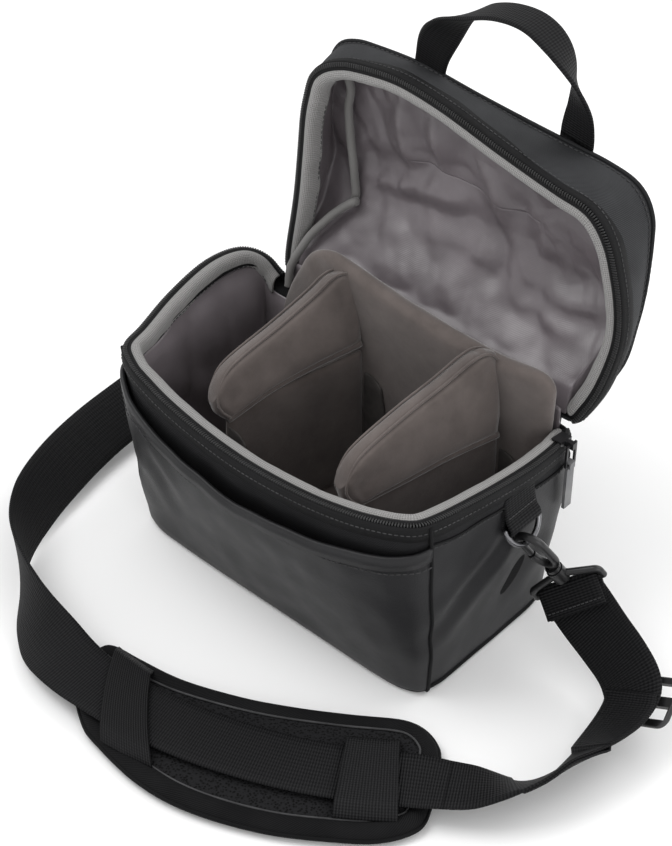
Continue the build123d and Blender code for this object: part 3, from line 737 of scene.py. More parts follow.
def make_rim(prefix, line, outward, up, body, replaced):
    """The zip's coil, its tape outside and inside, and the woven binding that hangs inside a rim."""
    outer = [(0.9, -10), (1.5, -6), (1.4, -1.6), (0.7, 0.3)]
    outer_tape = solidify(rim_strip(f"{prefix}_zip_tape", line, outward, up, outer), 0.8, 0.0)
    dress(outer_tape, "zip_tape", body, "zip_tape", replaced["tape"])
    inner = [(-1.4, 0.5), (-3.0, 0.8), (-4.6, 0.6), (-6.4, -0.8)]
    inner_tape = solidify(rim_strip(f"{prefix}_zip_tape_inner", line, outward, up, inner), 0.8, 0.0)
    dress(inner_tape, "zip_tape", body, "zip_tape")
    coil_line = line - 0.5 * outward + 0.8 * up
    coil = bead_row(f"{prefix}_zip_coil", coil_line, outward, 1.6, (1.05, 2.8, 1.5))
    dress(coil, "zip_teeth", body, "zip_teeth", replaced["teeth"])
    low = line + 2.0 * outward - 4.6 * up
    stitch(f"{prefix}_zip_stitches", low, outward, 3.2, (2.1, 0.5, 0.6), body, "zip_tape")
    edge = [(-4.2, 0.6), (-5.2, 1.3), (-7.0, 1.6), (-8.7, 0.9),
            (-9.8, -0.7), (-10.3, -3.0), (-10.3, -6.0), (-10.0, -8.2)]
    binding_strip = subdivide(rim_strip(f"{prefix}_binding", line, outward, up, edge, 1.6, 3.0))
    dress(solidify(binding_strip, 1.3, 0.0), "binding", body, "binding", replaced["binding"])
    hem_line = line - 10.8 * outward - 6.8 * up
    hem_line = hem_line + ripple(line, 1.4, 22.0, 3.0)[:, None] * outward
    stitch(f"{prefix}_binding_stitches", hem_line, outward, 3.4, (2.2, 0.5, 0.6), body, "binding")


def make_body_lining():
    """Satin inside the walls, in soft vertical folds from under the binding's hem, and the wall's padding."""
    bend, top = 0.72, 0.955
    shares = np.linspace(0.1, top, 40)[:, None]
    grid = body_wall(shares, -LINING_INSET)
    hem = rim_loop - HEM_INSET * body_outward - 6.6 * UP
    meet = np.clip((shares - bend) / (top - bend), 0, 1) ** 1.6
    grid = grid + meet[..., None] * (hem - grid[-1])
    folds = ripple(grid * np.array([1, 1, 0.35]), 4.2, 24.0, 21.0)
    fade = smooth_step((1 - shares) * 9) * smooth_step(shares * 4)
    grid = grid - (fade * np.abs(folds))[..., None] * body_outward
    lining = grid_piece("body_lining", grid, closed=True, flip=True)
    dress(solidify(subdivide(lining), 0.8), "body_lining", "bag", "nylon_lining",
          "front_padding", "back_padding", "side_left_padding", "side_right_padding")
    lip = [grid[-1]]
    for share, offset in ((0.965, -9.0), (0.97, -1.5), (0.9, -1.6), (0.1, -1.6)):
        lip.append(body_wall(np.full((1, 1), share), offset)[0])
    core = grid_piece("wall_padding", np.array(lip), closed=True)
    dress(core, "pad_fabric", "bag", "padding")


# ---- padded boards ------------------------------------------------------------------------------
def slab_cells(columns, rows, layers):
    """A closed block of quads: points with u, v and w from -1 to 1, and its faces."""
    found, points, faces = {}, [], []

    def point(i, j, k):
        key = (i, j, k)
        if key not in found:
            found[key] = len(points)
            points.append((2 * i / columns - 1, 2 * j / rows - 1, 2 * k / layers - 1))
        return found[key]

    for i in range(columns):
        for j in range(rows):
            faces.append([point(i, j, 0), point(i, j + 1, 0), point(i + 1, j + 1, 0), point(i + 1, j, 0)])
            faces.append([point(i, j, layers), point(i + 1, j, layers),
                          point(i + 1, j + 1, layers), point(i, j + 1, layers)])
    for k in range(layers):
        for i in range(columns):
            faces.append([point(i, 0, k), point(i + 1, 0, k), point(i + 1, 0, k + 1), point(i, 0, k + 1)])
            faces.append([point(i + 1, rows, k), point(i, rows, k),
                          point(i, rows, k + 1), point(i + 1, rows, k + 1)])
        for j in range(rows):
            faces.append([point(0, j + 1, k), point(0, j, k), point(0, j, k + 1), point(0, j + 1, k + 1)])
            faces.append([point(columns, j, k), point(columns, j + 1, k),
                          point(columns, j + 1, k + 1), point(columns, j, k + 1)])
    return np.array(points), faces


def patch(sides, u, v):
    """The place inside four side lines, bottom, top, near and far, at u and v from -1 to 1."""
    bottom, top, near, far = [smooth_line(side, 64) for side in sides]
    s, t = (u + 1) / 2, (v + 1) / 2

    def along(line, share):
        return at_marks(share, np.linspace(0, 1, len(line)), line)

    s1, t1 = s[:, None], t[:, None]
    ruled = (1 - t1) * along(bottom, s) + t1 * along(top, s) + (1 - s1) * along(near, t) + s1 * along(far, t)
    corners = ((1 - s1) * (1 - t1) * bottom[0] + s1 * (1 - t1) * bottom[-1]
               + (1 - s1) * t1 * top[0] + s1 * t1 * top[-1])
    return ruled - corners


def padded_slab(name, sides, thickness, edge, place, cells=(44, 26, 4), roundness=6.0, tuck=0.0):
    """A stuffed slab: its outline from four side lines, thin at its rim and full in its middle.

    Tuck is the share by which its two faces are smaller than its middle, which rounds its edges.
    """
    points, faces = slab_cells(*cells)
    u, v, w = points.T
    shrink = 1 - tuck * np.abs(w) ** 3
    flat = patch(sides, u * shrink, v * shrink)
    full = ((1 - np.abs(u) ** roundness) * (1 - np.abs(v) ** roundness)) ** 0.4
    half = edge / 2 + (thickness - edge) / 2 * full
    local = np.column_stack([w * half, flat])
    return make_object(name, place(local), faces)


def points_of(piece):
    return np.array([vertex.co for vertex in piece.data.vertices])


def set_points(piece, points):
    piece.data.vertices.foreach_set("co", points.ravel())
    piece.data.update()


def run_cloth(piece, frames, most, gravity, **settings):
    """Run a piece as cloth under pressure, and give its new points, moved no farther than most."""
    rest = points_of(piece)
    cloth = piece.modifiers.new("cloth", "CLOTH")
    cloth.settings.use_pressure = True
    for name, value in settings.items():
        setattr(cloth.settings, name, value)
    cloth.settings.effector_weights.gravity = gravity
    cloth.point_cache.frame_start = 1
    cloth.point_cache.frame_end = frames
    for number in range(1, frames + 1):
        bpy.context.scene.frame_set(number)
    apply_modifiers(piece)
    bpy.context.scene.frame_set(1)
    shift = points_of(piece) - rest
    length = np.linalg.norm(shift, axis=1)
    scale = np.where(length > most * MM, most * MM / np.maximum(length, 1e-9), 1.0)
    return rest + shift * scale[:, None]


def puff(piece, pressure, most):
    """Blow a padded piece up a little as cloth, so that its skin pulls in between its corners."""
    set_points(piece, run_cloth(
        piece, 20, most, 0, quality=5, mass=0.25, tension_stiffness=25, compression_stiffness=25,
        shear_stiffness=12, bending_stiffness=2.5, uniform_pressure_force=pressure, shrink_min=-0.02))
    return subdivide(piece)


def upright(x, y, lean, yaw, foot):
    """Place local points (through, along, height) on a board that stands at x, y, leaning about its foot."""
    tip, turn = math.radians(lean), math.radians(yaw)

    def place(local):
        through, along, height = local.T
        rise = height - foot
        out = through * math.cos(tip) + rise * math.sin(tip)
        z = foot + rise * math.cos(tip) - through * math.sin(tip)
        return np.column_stack([x + out * math.cos(turn) - along * math.sin(turn),
                                y + out * math.sin(turn) + along * math.cos(turn), z])
    return place


# The side lines of a divider's flap and board, as places along it and up: bottom, top, front and back.
FLAP_SIDES = {
    "left": (
        [(-46, 105), (-14, 113), (18, 117), (49, 119)],
        [(-52, 118), (-47, 128), (-36, 137), (-2, 149), (24, 159), (37, 165), (46, 166)],
        [(-46, 105), (-51, 111), (-52, 118)],
        [(49, 119), (54, 134), (56, 150), (53, 161), (46, 166)],
    ),
    "right": (
        [(-52, 106), (-15, 108), (15, 110), (48, 110)],
        [(-58, 119), (-52, 130), (-41, 138), (-12, 149), (14, 157), (34, 164), (45, 165)],
        [(-52, 106), (-57, 112), (-58, 119)],
        [(48, 110), (53, 130), (55, 147), (52, 160), (45, 165)],
    ),
}
PANEL_SIDES = (
    [(-48, 15), (0, 15), (50, 15)],
    [(-46, 105), (0, 111), (49, 114)],
    [(-48, 15), (-48, 60), (-46, 105)],
    [(50, 15), (50, 60), (49, 114)],
)
# The flap's y, the height of its crease, and the share of its height that the shut lid leaves.
FLAP_MIDDLE, FLAP_FOOT, SHUT_LID_ROOM = -1.5, 110, 0.68


def make_divider(side, x, lean, yaw):
    """A padded divider: a board, a thick flap that leans on a crease above it, and its hook tabs."""
    body, flap_body = f"divider_{side}", f"flap_{side}"
    board_place = upright(x, 0, 0, yaw, 15)
    panel = padded_slab(f"divider_{side}_board", PANEL_SIDES, 5.6, 3.4, board_place, (40, 34, 2), 10, 0.03)
    dress(subdivide(panel), "fleece", body, "fleece", f"divider_{side}_panel")
    bottom, top, near, far = FLAP_SIDES[side]
    place = upright(x, FLAP_MIDDLE, lean, yaw, FLAP_FOOT)
    cushion = padded_slab(
        f"divider_{side}_cushion", FLAP_SIDES[side], 17.0, 10.0, place, (48, 26, 6), 5, 0.075)
    flap = puff(cushion, 2.2, 1.6)
    dress(flap, "fleece", flap_body, "fleece", f"divider_{side}_flap")
    outline = smooth_line(near[:-1] + top + far[1:-1][::-1], 150)
    middle = outline.mean(0)
    inset = middle + (outline - middle) * 0.975
    for number, through in enumerate((5.4, -5.4)):
        seam = place(np.column_stack([np.full(len(outline), through), inset]))
        piping = tube_piece(f"divider_{side}_piping_{number}", seam, 0.8, 8)
        dress(piping, "fleece", flap_body, "fleece")
        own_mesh(piping)
    crease_line = place(np.column_stack([np.full(40, 3.0), smooth_line(bottom, 39)]))
    roll = tube_piece(f"divider_{side}_crease", crease_line, 2.6, 8)
    dress(roll, "fleece", flap_body, "fleece")
    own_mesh(flap)
    for number, y in enumerate((48.5, -46.5)):
        make_hook_tab(side, number, x, y, yaw, body)


def make_hook_tab(side, number, x, y, yaw, body):
    """A thin flange with rounded corners that holds the divider on the fleece wall."""
    sides = (
        [(0, 34), (8, 34), (17, 38)],
        [(0, 98), (8, 97), (14, 92)],
        [(0, 34), (0, 66), (0, 98)],
        [(17, 38), (18, 66), (14, 92)],
    )
    turn = math.radians(yaw)

    def place(local):
        through, out, height = local.T
        along = y + through
        return np.column_stack([x + (out + 3) * math.cos(turn) - along * math.sin(turn),
                                along * math.cos(turn), height])
    tab = padded_slab(f"divider_{side}_tab_{number}", sides, 2.0, 1.2, place, (10, 30, 2), 8)
    replaced = (f"divider_{side}_tabs",) if number == 0 else ()
    dress(subdivide(tab), "hook_tape", body, "hook_tape", *replaced)


def make_back_board():
    """The padded fleece wall at the back, which stands above the rim behind the dividers."""
    sides = (
        [(-101, 16), (0, 16), (101, 16)],
        [(-100, 104), (-94, 124), (-85, 143), (-76, 159), (-62, 167),
         (-46, 167), (0, 163), (60, 161), (97, 163), (106, 155)],
        [(-101, 16), (-101, 70), (-100, 104)],
        [(101, 16), (102, 80), (106, 155)],
    )

    def place(local):
        through, across, height = local.T
        lean = 1.5 + 2.5 * smooth_step((height - 100) / 60)
        return np.column_stack([across, 56 - through - lean, height])
    board = puff(padded_slab("back_board", sides, 9.0, 6.5, place, (60, 44, 4), 10, 0.03), 2.0, 2.0)
    dress(board, "fleece", "bag", "fleece", "back_padding_flap")
    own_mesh(board)


def make_corner_gussets():
    """The ends of the lining's upstand, which close the corners between the board and the hinge."""
    start, end, low, high = 84, 105, 104, 138
    x = np.linspace(start, end, 12)
    for side, sign in (("left", -1), ("right", 1)):
        rows = [np.stack([sign * x, 62 + 0.002 * (x - start) ** 2, z - 0.05 * (x - start) ** 1.4], 1)
                for z in np.linspace(low, high, 12)]
        gusset = grid_piece(f"corner_gusset_{side}", np.array(rows))
        dress(solidify(gusset, 1.2, 0.0), "body_lining", "bag", "nylon_lining")


def make_floor_pad():
    sides = (
        [(-101, -50), (0, -51), (101, -50)],
        [(-99, 50), (0, 51), (99, 50)],
        [(-101, -50), (-102, 0), (-99, 50)],
        [(101, -50), (102, 0), (99, 50)],
    )

    def place(local):
        height, x, y = local.T
        return np.column_stack([x, y, 9.5 + height])
    pad = padded_slab("floor_cushion", sides, 9.0, 4.0, place, (50, 26, 2), 12)
    dress(subdivide(pad), "fleece", "bag", "fleece", "floor_padding", "base_stiffener")


# ---- lid ----------------------------------------------------------------------------------------
# Out through the open lid's mouth, as UP is out through the body's.
LID_UP = np.array([0.0, -0.991, 0.131])
lid_loop = smooth_loop(LID_STRETCHES, LID_STEPS)
seam_loop = smooth_loop(SEAM_STRETCHES, LID_STEPS)
lid_outward = loop_normals(lid_loop, -LID_UP, 5)
LID_OPEN_END = sum(LID_STEPS[:5])
# The lining's corner seams as bound edges, and its creases: start, end, depth and width.
LINING_SEAMS = (
    [(-89, 97, 259), (-88, 100, 246), (-90, 100, 232), (-87, 99, 212), (-84, 98, 194), (-82, 98, 178),
     (-84, 97, 170)],
    [(-82, 98, 171), (-77, 91, 177), (-85, 87, 170), (-93, 77, 159), (-98, 68, 147), (-101, 60, 134),
     (-101, 57, 121)],
)
LINING_FOLDS = (
    ((-79, 107, 188), (-2, 107, 204), 5.0, 7.0),
    ((-60, 107, 250), (-40, 107, 195), 3.5, 8.0),
    ((-30, 107, 262), (-22, 107, 200), 3.0, 7.0),
    ((12, 107, 255), (30, 107, 190), 3.0, 9.0),
    ((60, 105, 170), (110, 95, 185), 4.5, 6.0),
    ((40, 102, 160), (104, 90, 165), 3.5, 6.0),
    ((-10, 104, 172), (30, 104, 182), 2.6, 7.0),
)
# The rows of the lining's side gussets, and the farthest back that its cloth may settle.
GUSSET_ROWS, LINING_BACK = 8, 110.5


def lid_middle(loop, half_width, y, z):
    """A level line down the middle of the lid, with a place for each point of a loop round it."""
    x = np.clip(loop[:, 0], -half_width, half_width) * 0.9
    return np.stack([x, np.full(len(x), y), np.full(len(x), z)], 1)


def lid_wall(shares, offset=0.0):
    shares = np.broadcast_to(shares, (len(shares), len(lid_loop)))[..., None]
    grid = lid_loop * (1 - shares) + seam_loop * shares
    fade = smooth_step(np.minimum(shares[..., 0], 1 - shares[..., 0]) * 6)
    swell = 1.6 * np.sin(np.pi * shares[..., 0]) + fade * ripple(grid, 1.6, 34.0, 31.0)
    return grid + (swell + offset)[..., None] * lid_outward


def make_lid():
    steps = np.linspace(0, 1, 18)[:, None]
    wall = grid_piece("lid_wall", lid_wall(steps), closed=True)
    dress(solidify(wall, 1.4), "nylon_twill", "lid", "nylon_twill",
          "lid_front_wall", "lid_back_wall", "lid_side_wall_left", "lid_side_wall_right")
    rings = np.array([0.0, 0.02, 0.05, 0.1, 0.18, 0.3, 0.45, 0.62, 0.8, 1.0])
    spine = lid_middle(seam_loop, 60, 110.0, 205.0)
    grid = np.array([seam_loop * (1 - ring) + spine * ring for ring in rings])
    crown = 6.5 * (1 - (1 - np.clip(rings * 2.2, 0, 1)) ** 2)
    grid[..., 1] += crown[:, None] + smooth_step(rings * 4)[:, None] * ripple(grid, 1.8, 48.0, 41.0)
    top = subdivide(grid_piece("lid_top", grid, closed=True))
    dress(solidify(top, 1.4, even=False), "nylon_twill", "lid", "nylon_twill", "lid_top_panel")
    seam = tube_piece("lid_seam_piping", seam_loop + 0.6 * lid_outward, 1.25, 8, closed=True)
    dress(seam, "nylon_twill", "lid", "nylon_twill")
    near = lid_wall(np.full((1, 1), 0.9), 0.3)[0]
    stitch("lid_seam_stitches", near[:LID_OPEN_END], lid_outward[:LID_OPEN_END], 3.6, (2.4, 0.6, 0.7),
           "lid", "nylon_twill")


def wrinkle(piece, pinned):
    """Let a lining that is cut a little too large settle as cloth, held along its seams."""
    group = piece.vertex_groups.new(name="sewn")
    for index, weight in enumerate(pinned):
        if weight > 0:
            group.add([index], float(weight), "REPLACE")
    points = run_cloth(
        piece, 34, 9, 0.2, quality=6, mass=0.15, tension_stiffness=15, compression_stiffness=15,
        shear_stiffness=5, bending_stiffness=0.08, uniform_pressure_force=0.4, shrink_min=-0.07,
        vertex_group_mass="sewn")
    points[:, 1] = np.minimum(points[:, 1], LINING_BACK * MM)
    set_points(piece, points)


def make_lid_lining():
    """One satin dish: side gussets from the rim to a bound corner seam, and the panel between them."""
    rim = lid_loop - HEM_INSET * lid_outward - 6.2 * LID_UP
    rim[LID_OPEN_END:, 1:] = (67, 128)
    corner = seam_loop - 7.0 * lid_outward
    low = smooth_step((195 - lid_loop[:, 2]) / 65)
    corner[:, 1] = 106.5 - 34 * low
    corner[:, 2] += 8 * low
    spine = lid_middle(corner, 55, 107.0, 214.0)
    rows = [rim * (1 - share) + corner * share for share in np.linspace(0, 1, GUSSET_ROWS + 1)[:-1]]
    rows += [corner * (1 - share) + spine * share for share in np.linspace(0, 1, 34)]
    grid = np.array(rows)
    deep = smooth_step((grid[GUSSET_ROWS:, :, 2] - 140) / 60)
    grid[GUSSET_ROWS:, :, 1] = np.minimum(107, 72 + 35 * np.sqrt(deep))
    piece = grid_piece("lid_lining_satin", grid, closed=True, flip=True)
    pinned = np.zeros(grid.shape[:2])
    pinned[0] = 1
    pinned[GUSSET_ROWS] = 0.9
    wrinkle(piece, pinned.ravel())
    settled = points_of(piece) / MM
    shaped = settled.copy()
    for start, end, size, width in LINING_FOLDS:
        shaped = crease(shaped, start, end, size, width, (0, -1, 0))
    x, y, z = settled.T
    slanted = np.column_stack([x + 0.5 * z, y, 0.35 * z - 0.2 * x])
    crumple = (2.4 - 6.0 * np.abs(ripple(slanted, 1.0, 26.0, 51.0))
               - 4.0 * np.abs(ripple(settled, 1.0, 27.0, 54.0))
               - 2.0 * np.abs(ripple(slanted, 1.0, 12.0, 52.0)) + ripple(settled, 0.5, 7.0, 53.0))
    panel = slice(GUSSET_ROWS * grid.shape[1], None)
    shaped[panel, 1] += crumple[panel]
    set_points(piece, shaped * MM)
    apply_modifiers(subdivide(piece))
    apply_modifiers(solidify(piece, 0.8, even=False))
    join_bag_to_lid(piece, "satin", "lid_lining")
    for number, stops in enumerate(LINING_SEAMS):
        line = smooth_line(stops, 90)
        line = line + ripple(line, 0.9, 14.0, 71.0 + number)[:, None] * np.array([1.0, -0.5, 0.0])
        dress(tube_piece(f"lid_corner_seam_{number}", line, 2.6, 10), "binding", "lid", "binding")


def make_hinge_cover():
    x = np.linspace(-101, 101, 60)
    section = [(67.6, 92), (68.6, 100), (69.2, 110), (69.4, 118), (70.4, 123), (73.5, 126), (79, 127.2)]
    grid = np.array([np.stack([x, 0 * x + y, 0 * x + z], 1) for y, z in section])
    cover = apply_modifiers(solidify(subdivide(grid_piece("hinge_cover", grid, flip=True)), 1.2, 0.0))
    join_bag_to_lid(cover, "nylon_twill", "hinge_strip")


def make_handle():
    """The webbing handle: its legs lie flat on the lid and turn a quarter on their way to the arch."""
    stops = [(-40, 114, 250), (-40, 114, 262), (-39, 112.5, 277), (-34, 111, 294), (-22, 110, 312),
             (-5, 109, 325), (15, 109, 333), (35, 109, 334), (51, 109, 326), (62, 110, 311),
             (67, 111, 293), (66, 112.5, 275), (64, 114, 262), (64, 114, 250)]
    centre = smooth_line(stops, 160)
    along = unit(np.gradient(centre, axis=0))
    side = np.cross(np.array([0.0, 1.0, 0.0]), along)
    reach = np.linspace(0, 1, len(centre))
    turn = (np.pi / 2) * smooth_step((reach - 0.12) / 0.3) * smooth_step((0.9 - reach) / 0.3)
    across = np.cos(turn)[:, None] * side + np.sin(turn)[:, None] * np.array([0.0, 1.0, 0.0])
    handle = ribbon_piece("webbing_handle", centre[16:-15], across[16:-15], 23.0, 2.4)
    dress(handle, "webbing", "handle", "webbing", "carry_handle")
    for number, (part, low, high) in enumerate((("left", 0, 18), ("right", -18, None))):
        foot = ribbon_piece(f"handle_foot_{part}", centre[low:high], across[low:high], 23.0, 2.4)
        replaced = ("handle_anchors",) if number == 0 else ()
        dress(foot, "webbing", "lid", "webbing", *replaced)


# ---- strap --------------------------------------------------------------------------------------
def strap_points():
    """The strap's line, read from a NURBS curve that has the route's points as its control points."""
    curve = bpy.data.curves.new("strap_route", "CURVE")
    curve.dimensions = "3D"
    spline = curve.splines.new("NURBS")
    spline.points.add(len(STRAP_ROUTE) - 1)
    for point, (x, y, z, roll) in zip(spline.points, STRAP_ROUTE):
        point.co = (x * MM, y * MM, z * MM, 1)
    spline.order_u = 3
    spline.use_endpoint_u = True
    spline.resolution_u = 12
    holder = bpy.data.objects.new("strap_route", curve)
    bpy.context.scene.collection.objects.link(holder)
    mesh = bpy.data.meshes.new_from_object(holder)
    line = np.array([vertex.co for vertex in mesh.vertices]) / MM
    bpy.data.objects.remove(holder)
    return resample(line, 320)


def strap_across(line):
    """Which way the strap's width lies along its line. Each end turns to lie along its swivel's bar."""
    stops = np.array(STRAP_ROUTE, float)
    reach = reach_along(stops[:, :3])
    rolls = np.radians(np.interp(np.linspace(0, reach[-1], len(line)), reach, stops[:, 3]))
    along = unit(np.gradient(line, axis=0))
    level = unit(np.cross(along, UP))
    rise = np.cross(along, level)
    across = np.cos(rolls)[:, None] * level + np.sin(rolls)[:, None] * rise
    share = np.linspace(0, 1, len(line))
    for weight, bar in ((1 - smooth_step(share / 0.06), -np.array(RIGHT_BAR)),
                        (smooth_step((share - 0.95) / 0.05), np.array(LEFT_BAR))):
        across = across * (1 - weight[:, None]) + weight[:, None] * bar
    across -= (across * along).sum(1)[:, None] * along
    for _ in range(4):
        across[1:-1] = (across[:-2] + 2 * across[1:-1] + across[2:]) / 4
    return unit(across)


def make_strap(pad_pieces):
    line = strap_points()
    across = strap_across(line)
    strap = ribbon_piece("shoulder_strap", line, across, STRAP_WIDTH, STRAP_THICKNESS)
    dress(strap, "webbing", "bag", "webbing", "strap_webbing")
    make_strap_turn(line, across)
    make_strap_fold("right", line[0], line[14] - line[0], RIGHT_BAR_PLACE, RIGHT_BAR)
    make_strap_fold("left", line[-1], line[-14] - line[-1], LEFT_BAR_PLACE, LEFT_BAR)


def make_strap_turn(line, across):
    """The strap's second layer, which comes up through the slide, turns over its bar and goes on below."""
    start = int(np.linalg.norm(line - np.array(TURN_PLACE), axis=1).argmin())
    part = slice(start, start + TURN_STEPS)
    along = unit(np.gradient(line, axis=0)[part])
    normal = unit(np.cross(along, across[part]))
    normal *= np.where(normal @ np.array(TOWARDS_CAMERA) < 0, -1, 1)[:, None]
    lift = 2.3 * (1 - np.linspace(0, 1, TURN_STEPS)) ** 0.7
    centre = line[part] + lift[:, None] * normal
    share = np.clip(np.linspace(1, -1.5, TURN_STEPS), 0, 1)[:, None]
    side = np.array(TURN_BAR) * np.sign(across[part][0] @ np.array(TURN_BAR))
    turned = unit(across[part] * (1 - share) + side * share)
    under = centre[:1] - 3.4 * normal[:1] - 0.6 * along[:1]
    lip = centre[:1] - 1.4 * normal[:1] - 2.2 * along[:1]
    centre = np.concatenate([under, lip, centre])
    turned = np.concatenate([turned[:1], turned[:1], turned])
    layer = ribbon_piece("strap_turn", centre, turned, STRAP_WIDTH, STRAP_THICKNESS)
    dress(layer, "webbing", "bag", "webbing")


def make_strap_fold(side, start, heading, bar_centre, bar):
    """The strap's end, which goes round the swivel's bar and is sewn back on itself."""
    bar_centre, bar = np.array(bar_centre), np.array(bar) / np.linalg.norm(bar)
    along = np.array(start) + np.array(heading) - bar_centre
    along -= (along @ bar) * bar
    along /= np.linalg.norm(along)
    over = np.cross(bar, along)
    over = over if over[2] > 0 else -over
    places = [(16, 2.3), (12, 2.5), (7, 3.0), (2, 3.6), (-1.6, 3.4), (-3.7, 1.4), (-3.7, -1.4), (-1.6, -3.4),
              (2, -3.6), (8, -2.9), (16, -2.2)]
    centre = smooth_line([tuple(bar_centre + a * along + b * over) for a, b in places], 60)
    fold = ribbon_piece(f"strap_fold_{side}", centre, np.tile(bar, (len(centre), 1)), STRAP_WIDTH, 1.8)
    dress(fold, "webbing", "bag", "webbing")
    ends = np.array([bar_centre + 12.5 * along + 3.5 * over + bar * reach for reach in (-17.5, 0, 17.5)])
    stitch(f"strap_fold_stitches_{side}", ends, np.tile(along, (3, 1)), 2.6, (1.9, 0.7, 0.7),
           "bag", "webbing")


# ---- shoulder pad -------------------------------------------------------------------------------
PAD_CHORD = np.array(PAD_ENDS[1]) - np.array(PAD_ENDS[0])
PAD_HALF_CHORD = float(np.linalg.norm(PAD_CHORD)) / 2
PAD_RADIUS = (PAD_HALF_CHORD ** 2 + PAD_SAG ** 2) / (2 * PAD_SAG)
PAD_OUT = np.array([PAD_CHORD[1], -PAD_CHORD[0]]) / np.linalg.norm(PAD_CHORD)
PAD_CENTRE = (np.array(PAD_ENDS[0]) + np.array(PAD_ENDS[1])) / 2 - PAD_OUT * (PAD_RADIUS - PAD_SAG)
PAD_START = math.atan2(*(np.array(PAD_ENDS[0]) - PAD_CENTRE)[::-1])
PAD_HALF_LENGTH = PAD_RADIUS * math.asin(PAD_HALF_CHORD / PAD_RADIUS)


def on_pad(along, across, height):
    """A place on the pad: along its curved middle line, across it towards the bag, and above the floor."""
    angle = PAD_START + (along + PAD_HALF_LENGTH) / PAD_RADIUS
    reach = PAD_RADIUS - across
    return np.stack([PAD_CENTRE[0] + reach * np.cos(angle), PAD_CENTRE[1] + reach * np.sin(angle),
                     height + 0 * angle], -1)


pad_edge = ease(smooth_line([(x, y, 0) for x, y in PAD_OUTLINE + PAD_OUTLINE[:1]], 220)[:-1], 3)
pad_outward = loop_normals(pad_edge, UP, 4)


def pad_spine():
    """The nearest place to each point of the pad's edge on its curved middle line."""
    marks = np.linspace(26 - PAD_HALF_LENGTH, PAD_HALF_LENGTH - 26, 120)
    spine = on_pad(marks, 0 * marks, 0.0)
    nearest = np.linalg.norm(pad_edge[:, None, :2] - spine[None, :, :2], axis=2).argmin(1)
    return spine[nearest]


def pad_ring(inset, height, share=0.0):
    """A closed line round the pad, inset from its edge and moved a share of the way to its middle line."""
    ring = pad_edge - inset * pad_outward
    ring = ring + share * (pad_spine() - ring)
    ring[:, 2] = height
    return ring


def make_pad():
    """The shoulder pad: a thick bound rim round a mesh face that is sunk a little below it."""
    profile = [(12, 0.5), (4, 0.5), (1.0, 1.4), (0.0, 3.6), (0.2, 6.4), (1.8, 8.8), (5.0, 10.0),
               (8.4, 9.6), (10.4, 8.4), (11.2, 7.6)]
    rings = np.array([pad_ring(inset, height) for inset, height in profile])
    rings[..., 2] += ripple(rings, 0.6, 26.0, 61.0) * smooth_step((rings[..., 2] - 1) / 5)
    rim = grid_piece("shoulder_pad_rim", rings, closed=True)
    dress(subdivide(rim), "pad_fabric", "pad", "pad_fabric", "shoulder_pad")
    under = np.array([pad_ring(11.5, 0.55, share) for share in (0, 0.25, 0.5, 0.75, 1)])
    dress(grid_piece("shoulder_pad_back", under, closed=True, flip=True), "pad_mesh", "pad", "pad_mesh")
    top = np.array([pad_ring(10.8, 7.8 + 1.2 * min(4 * share, 1), share)
                    for share in (0, 0.06, 0.15, 0.3, 0.5, 0.75, 1)])
    face = grid_piece("shoulder_pad_face", top, closed=True)
    dress(subdivide(face), "pad_mesh", "pad", "pad_mesh", "pad_top_panel")
    seam = tube_piece("shoulder_pad_seam", pad_ring(10.6, 8.5), 0.7, 6, closed=True)
    dress(seam, "thread", "pad", "pad_fabric")
    edge = tube_piece("shoulder_pad_binding", pad_ring(0.2, 4.2), 1.5, 8, closed=True)
    dress(edge, "webbing", "pad", "pad_fabric")
    bands = []
    for name, middle, skew in (("left", -70, 0.75), ("right", 78, 0.0)):
        band = pad_band(name, middle, skew)
        dress(band, "band_elastic", "pad", "webbing", f"pad_band_{name}")
        bands.append(band)
    return [rim, face, *bands]


def pad_band(name, middle, skew):
    """A wide elastic band that holds the strap down on the pad, sewn along both its ends."""
    across = np.linspace(-28.5, 28.5, 27)
    over = np.clip((30 - np.abs(across)) / 9, 0, 1)
    height = 9.0 + 6.4 * smooth_step(over)
    rows = []
    for along in np.linspace(middle - 16, middle + 16, 13):
        rows.append(on_pad(along - skew * across, across, height))
    band = grid_piece(f"pad_band_{name}_elastic", np.array(rows))
    return solidify(band, 1.3, 0.0)


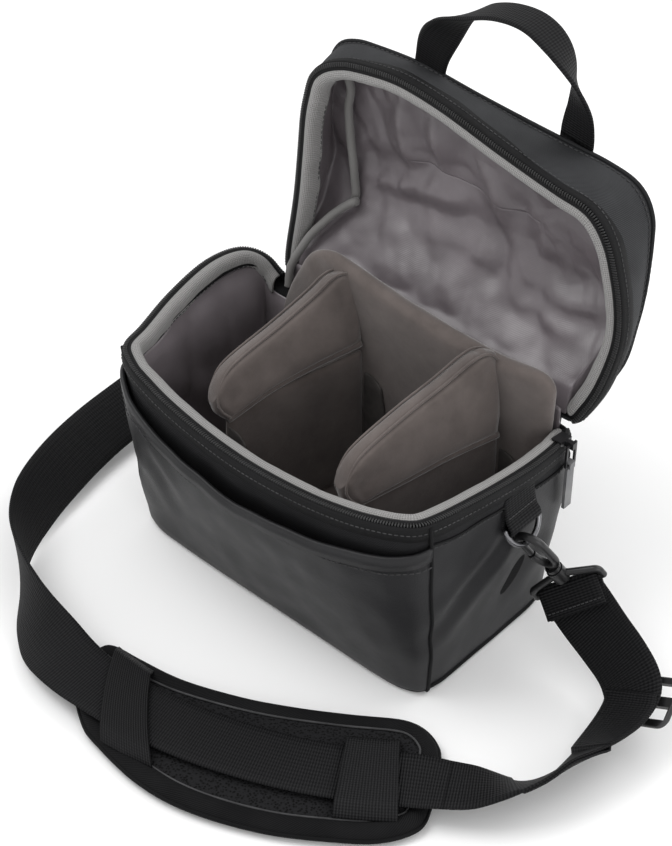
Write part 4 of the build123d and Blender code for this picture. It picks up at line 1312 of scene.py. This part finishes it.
# ---- hardware -----------------------------------------------------------------------------------
def make_ring_tab(side, sign):
    """A webbing tab that comes out of the band's lower seam, goes round the ring's bar and back."""
    y = 8.0
    section = [(119.6, 119), (120.6, 112), (122.6, 104), (125.6, 100), (126.4, 97.6), (125.2, 94.8),
               (122.8, 94.2), (120.4, 95.6), (119.6, 98.5), (119.5, 104), (119.4, 112)]
    centre = smooth_line([(sign * x, y, z) for x, z in section], 60)
    across = np.tile([0.0, 1.0, 0.0], (len(centre), 1))
    tab = ribbon_piece(f"ring_tab_webbing_{side}", centre, across, 27.0, 1.8)
    dress(tab, "webbing", "bag", "webbing", f"ring_tab_{side}")
    ends = np.array([(sign * 122.9, y + reach, 106.0) for reach in (-12, 0, 12)])
    stitch(f"ring_tab_stitches_{side}", ends, np.tile(UP, (3, 1)), 2.6, (1.9, 0.7, 0.8), "bag", "webbing")


# The CAD nodes that stay in view, and their materials.
CAD_LOOKS = {
    "d_ring_left": "ring_metal", "d_ring_right": "ring_metal",
    "snap_hook_left": "hook_metal", "snap_hook_right": "hook_metal",
    "hook_gate_left": "hook_metal", "hook_gate_right": "hook_metal",
    "swivel_base_left": "hook_metal", "swivel_base_right": "hook_metal",
    "strap_adjuster": "buckle_plastic", "zip_slider": "zip_metal",
    "zip_pull_ring": "zip_metal", "zip_pull_tab": "pull_tab",
}


def dress_hardware():
    for name, material in CAD_LOOKS.items():
        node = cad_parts[name]
        node.data.materials.clear()
        node.data.materials.append(MATERIALS[material])


def main():
    make_camera()
    make_stage()
    make_body()
    make_pocket()
    make_rim("body", rim_loop[:OPEN_END + 1], body_outward[:OPEN_END + 1], UP, "bag",
             {"tape": "body_zip_tape", "teeth": "body_zip_teeth", "binding": "body_rim_binding"})
    make_body_lining()
    make_back_board()
    make_corner_gussets()
    make_floor_pad()
    make_divider("left", -44.0, -19.0, -15.0)
    make_divider("right", 61.0, -12.0, -14.0)
    make_lid()
    make_lid_lining()
    make_rim("lid", lid_loop[:LID_OPEN_END + 1], lid_outward[:LID_OPEN_END + 1], LID_UP, "lid",
             {"tape": "lid_zip_tape", "teeth": "lid_zip_teeth", "binding": "lid_rim_binding"})
    make_hinge_cover()
    make_handle()
    for side, sign in (("left", -1), ("right", 1)):
        make_ring_tab(side, sign)
    make_strap(make_pad())
    dress_hardware()


main()
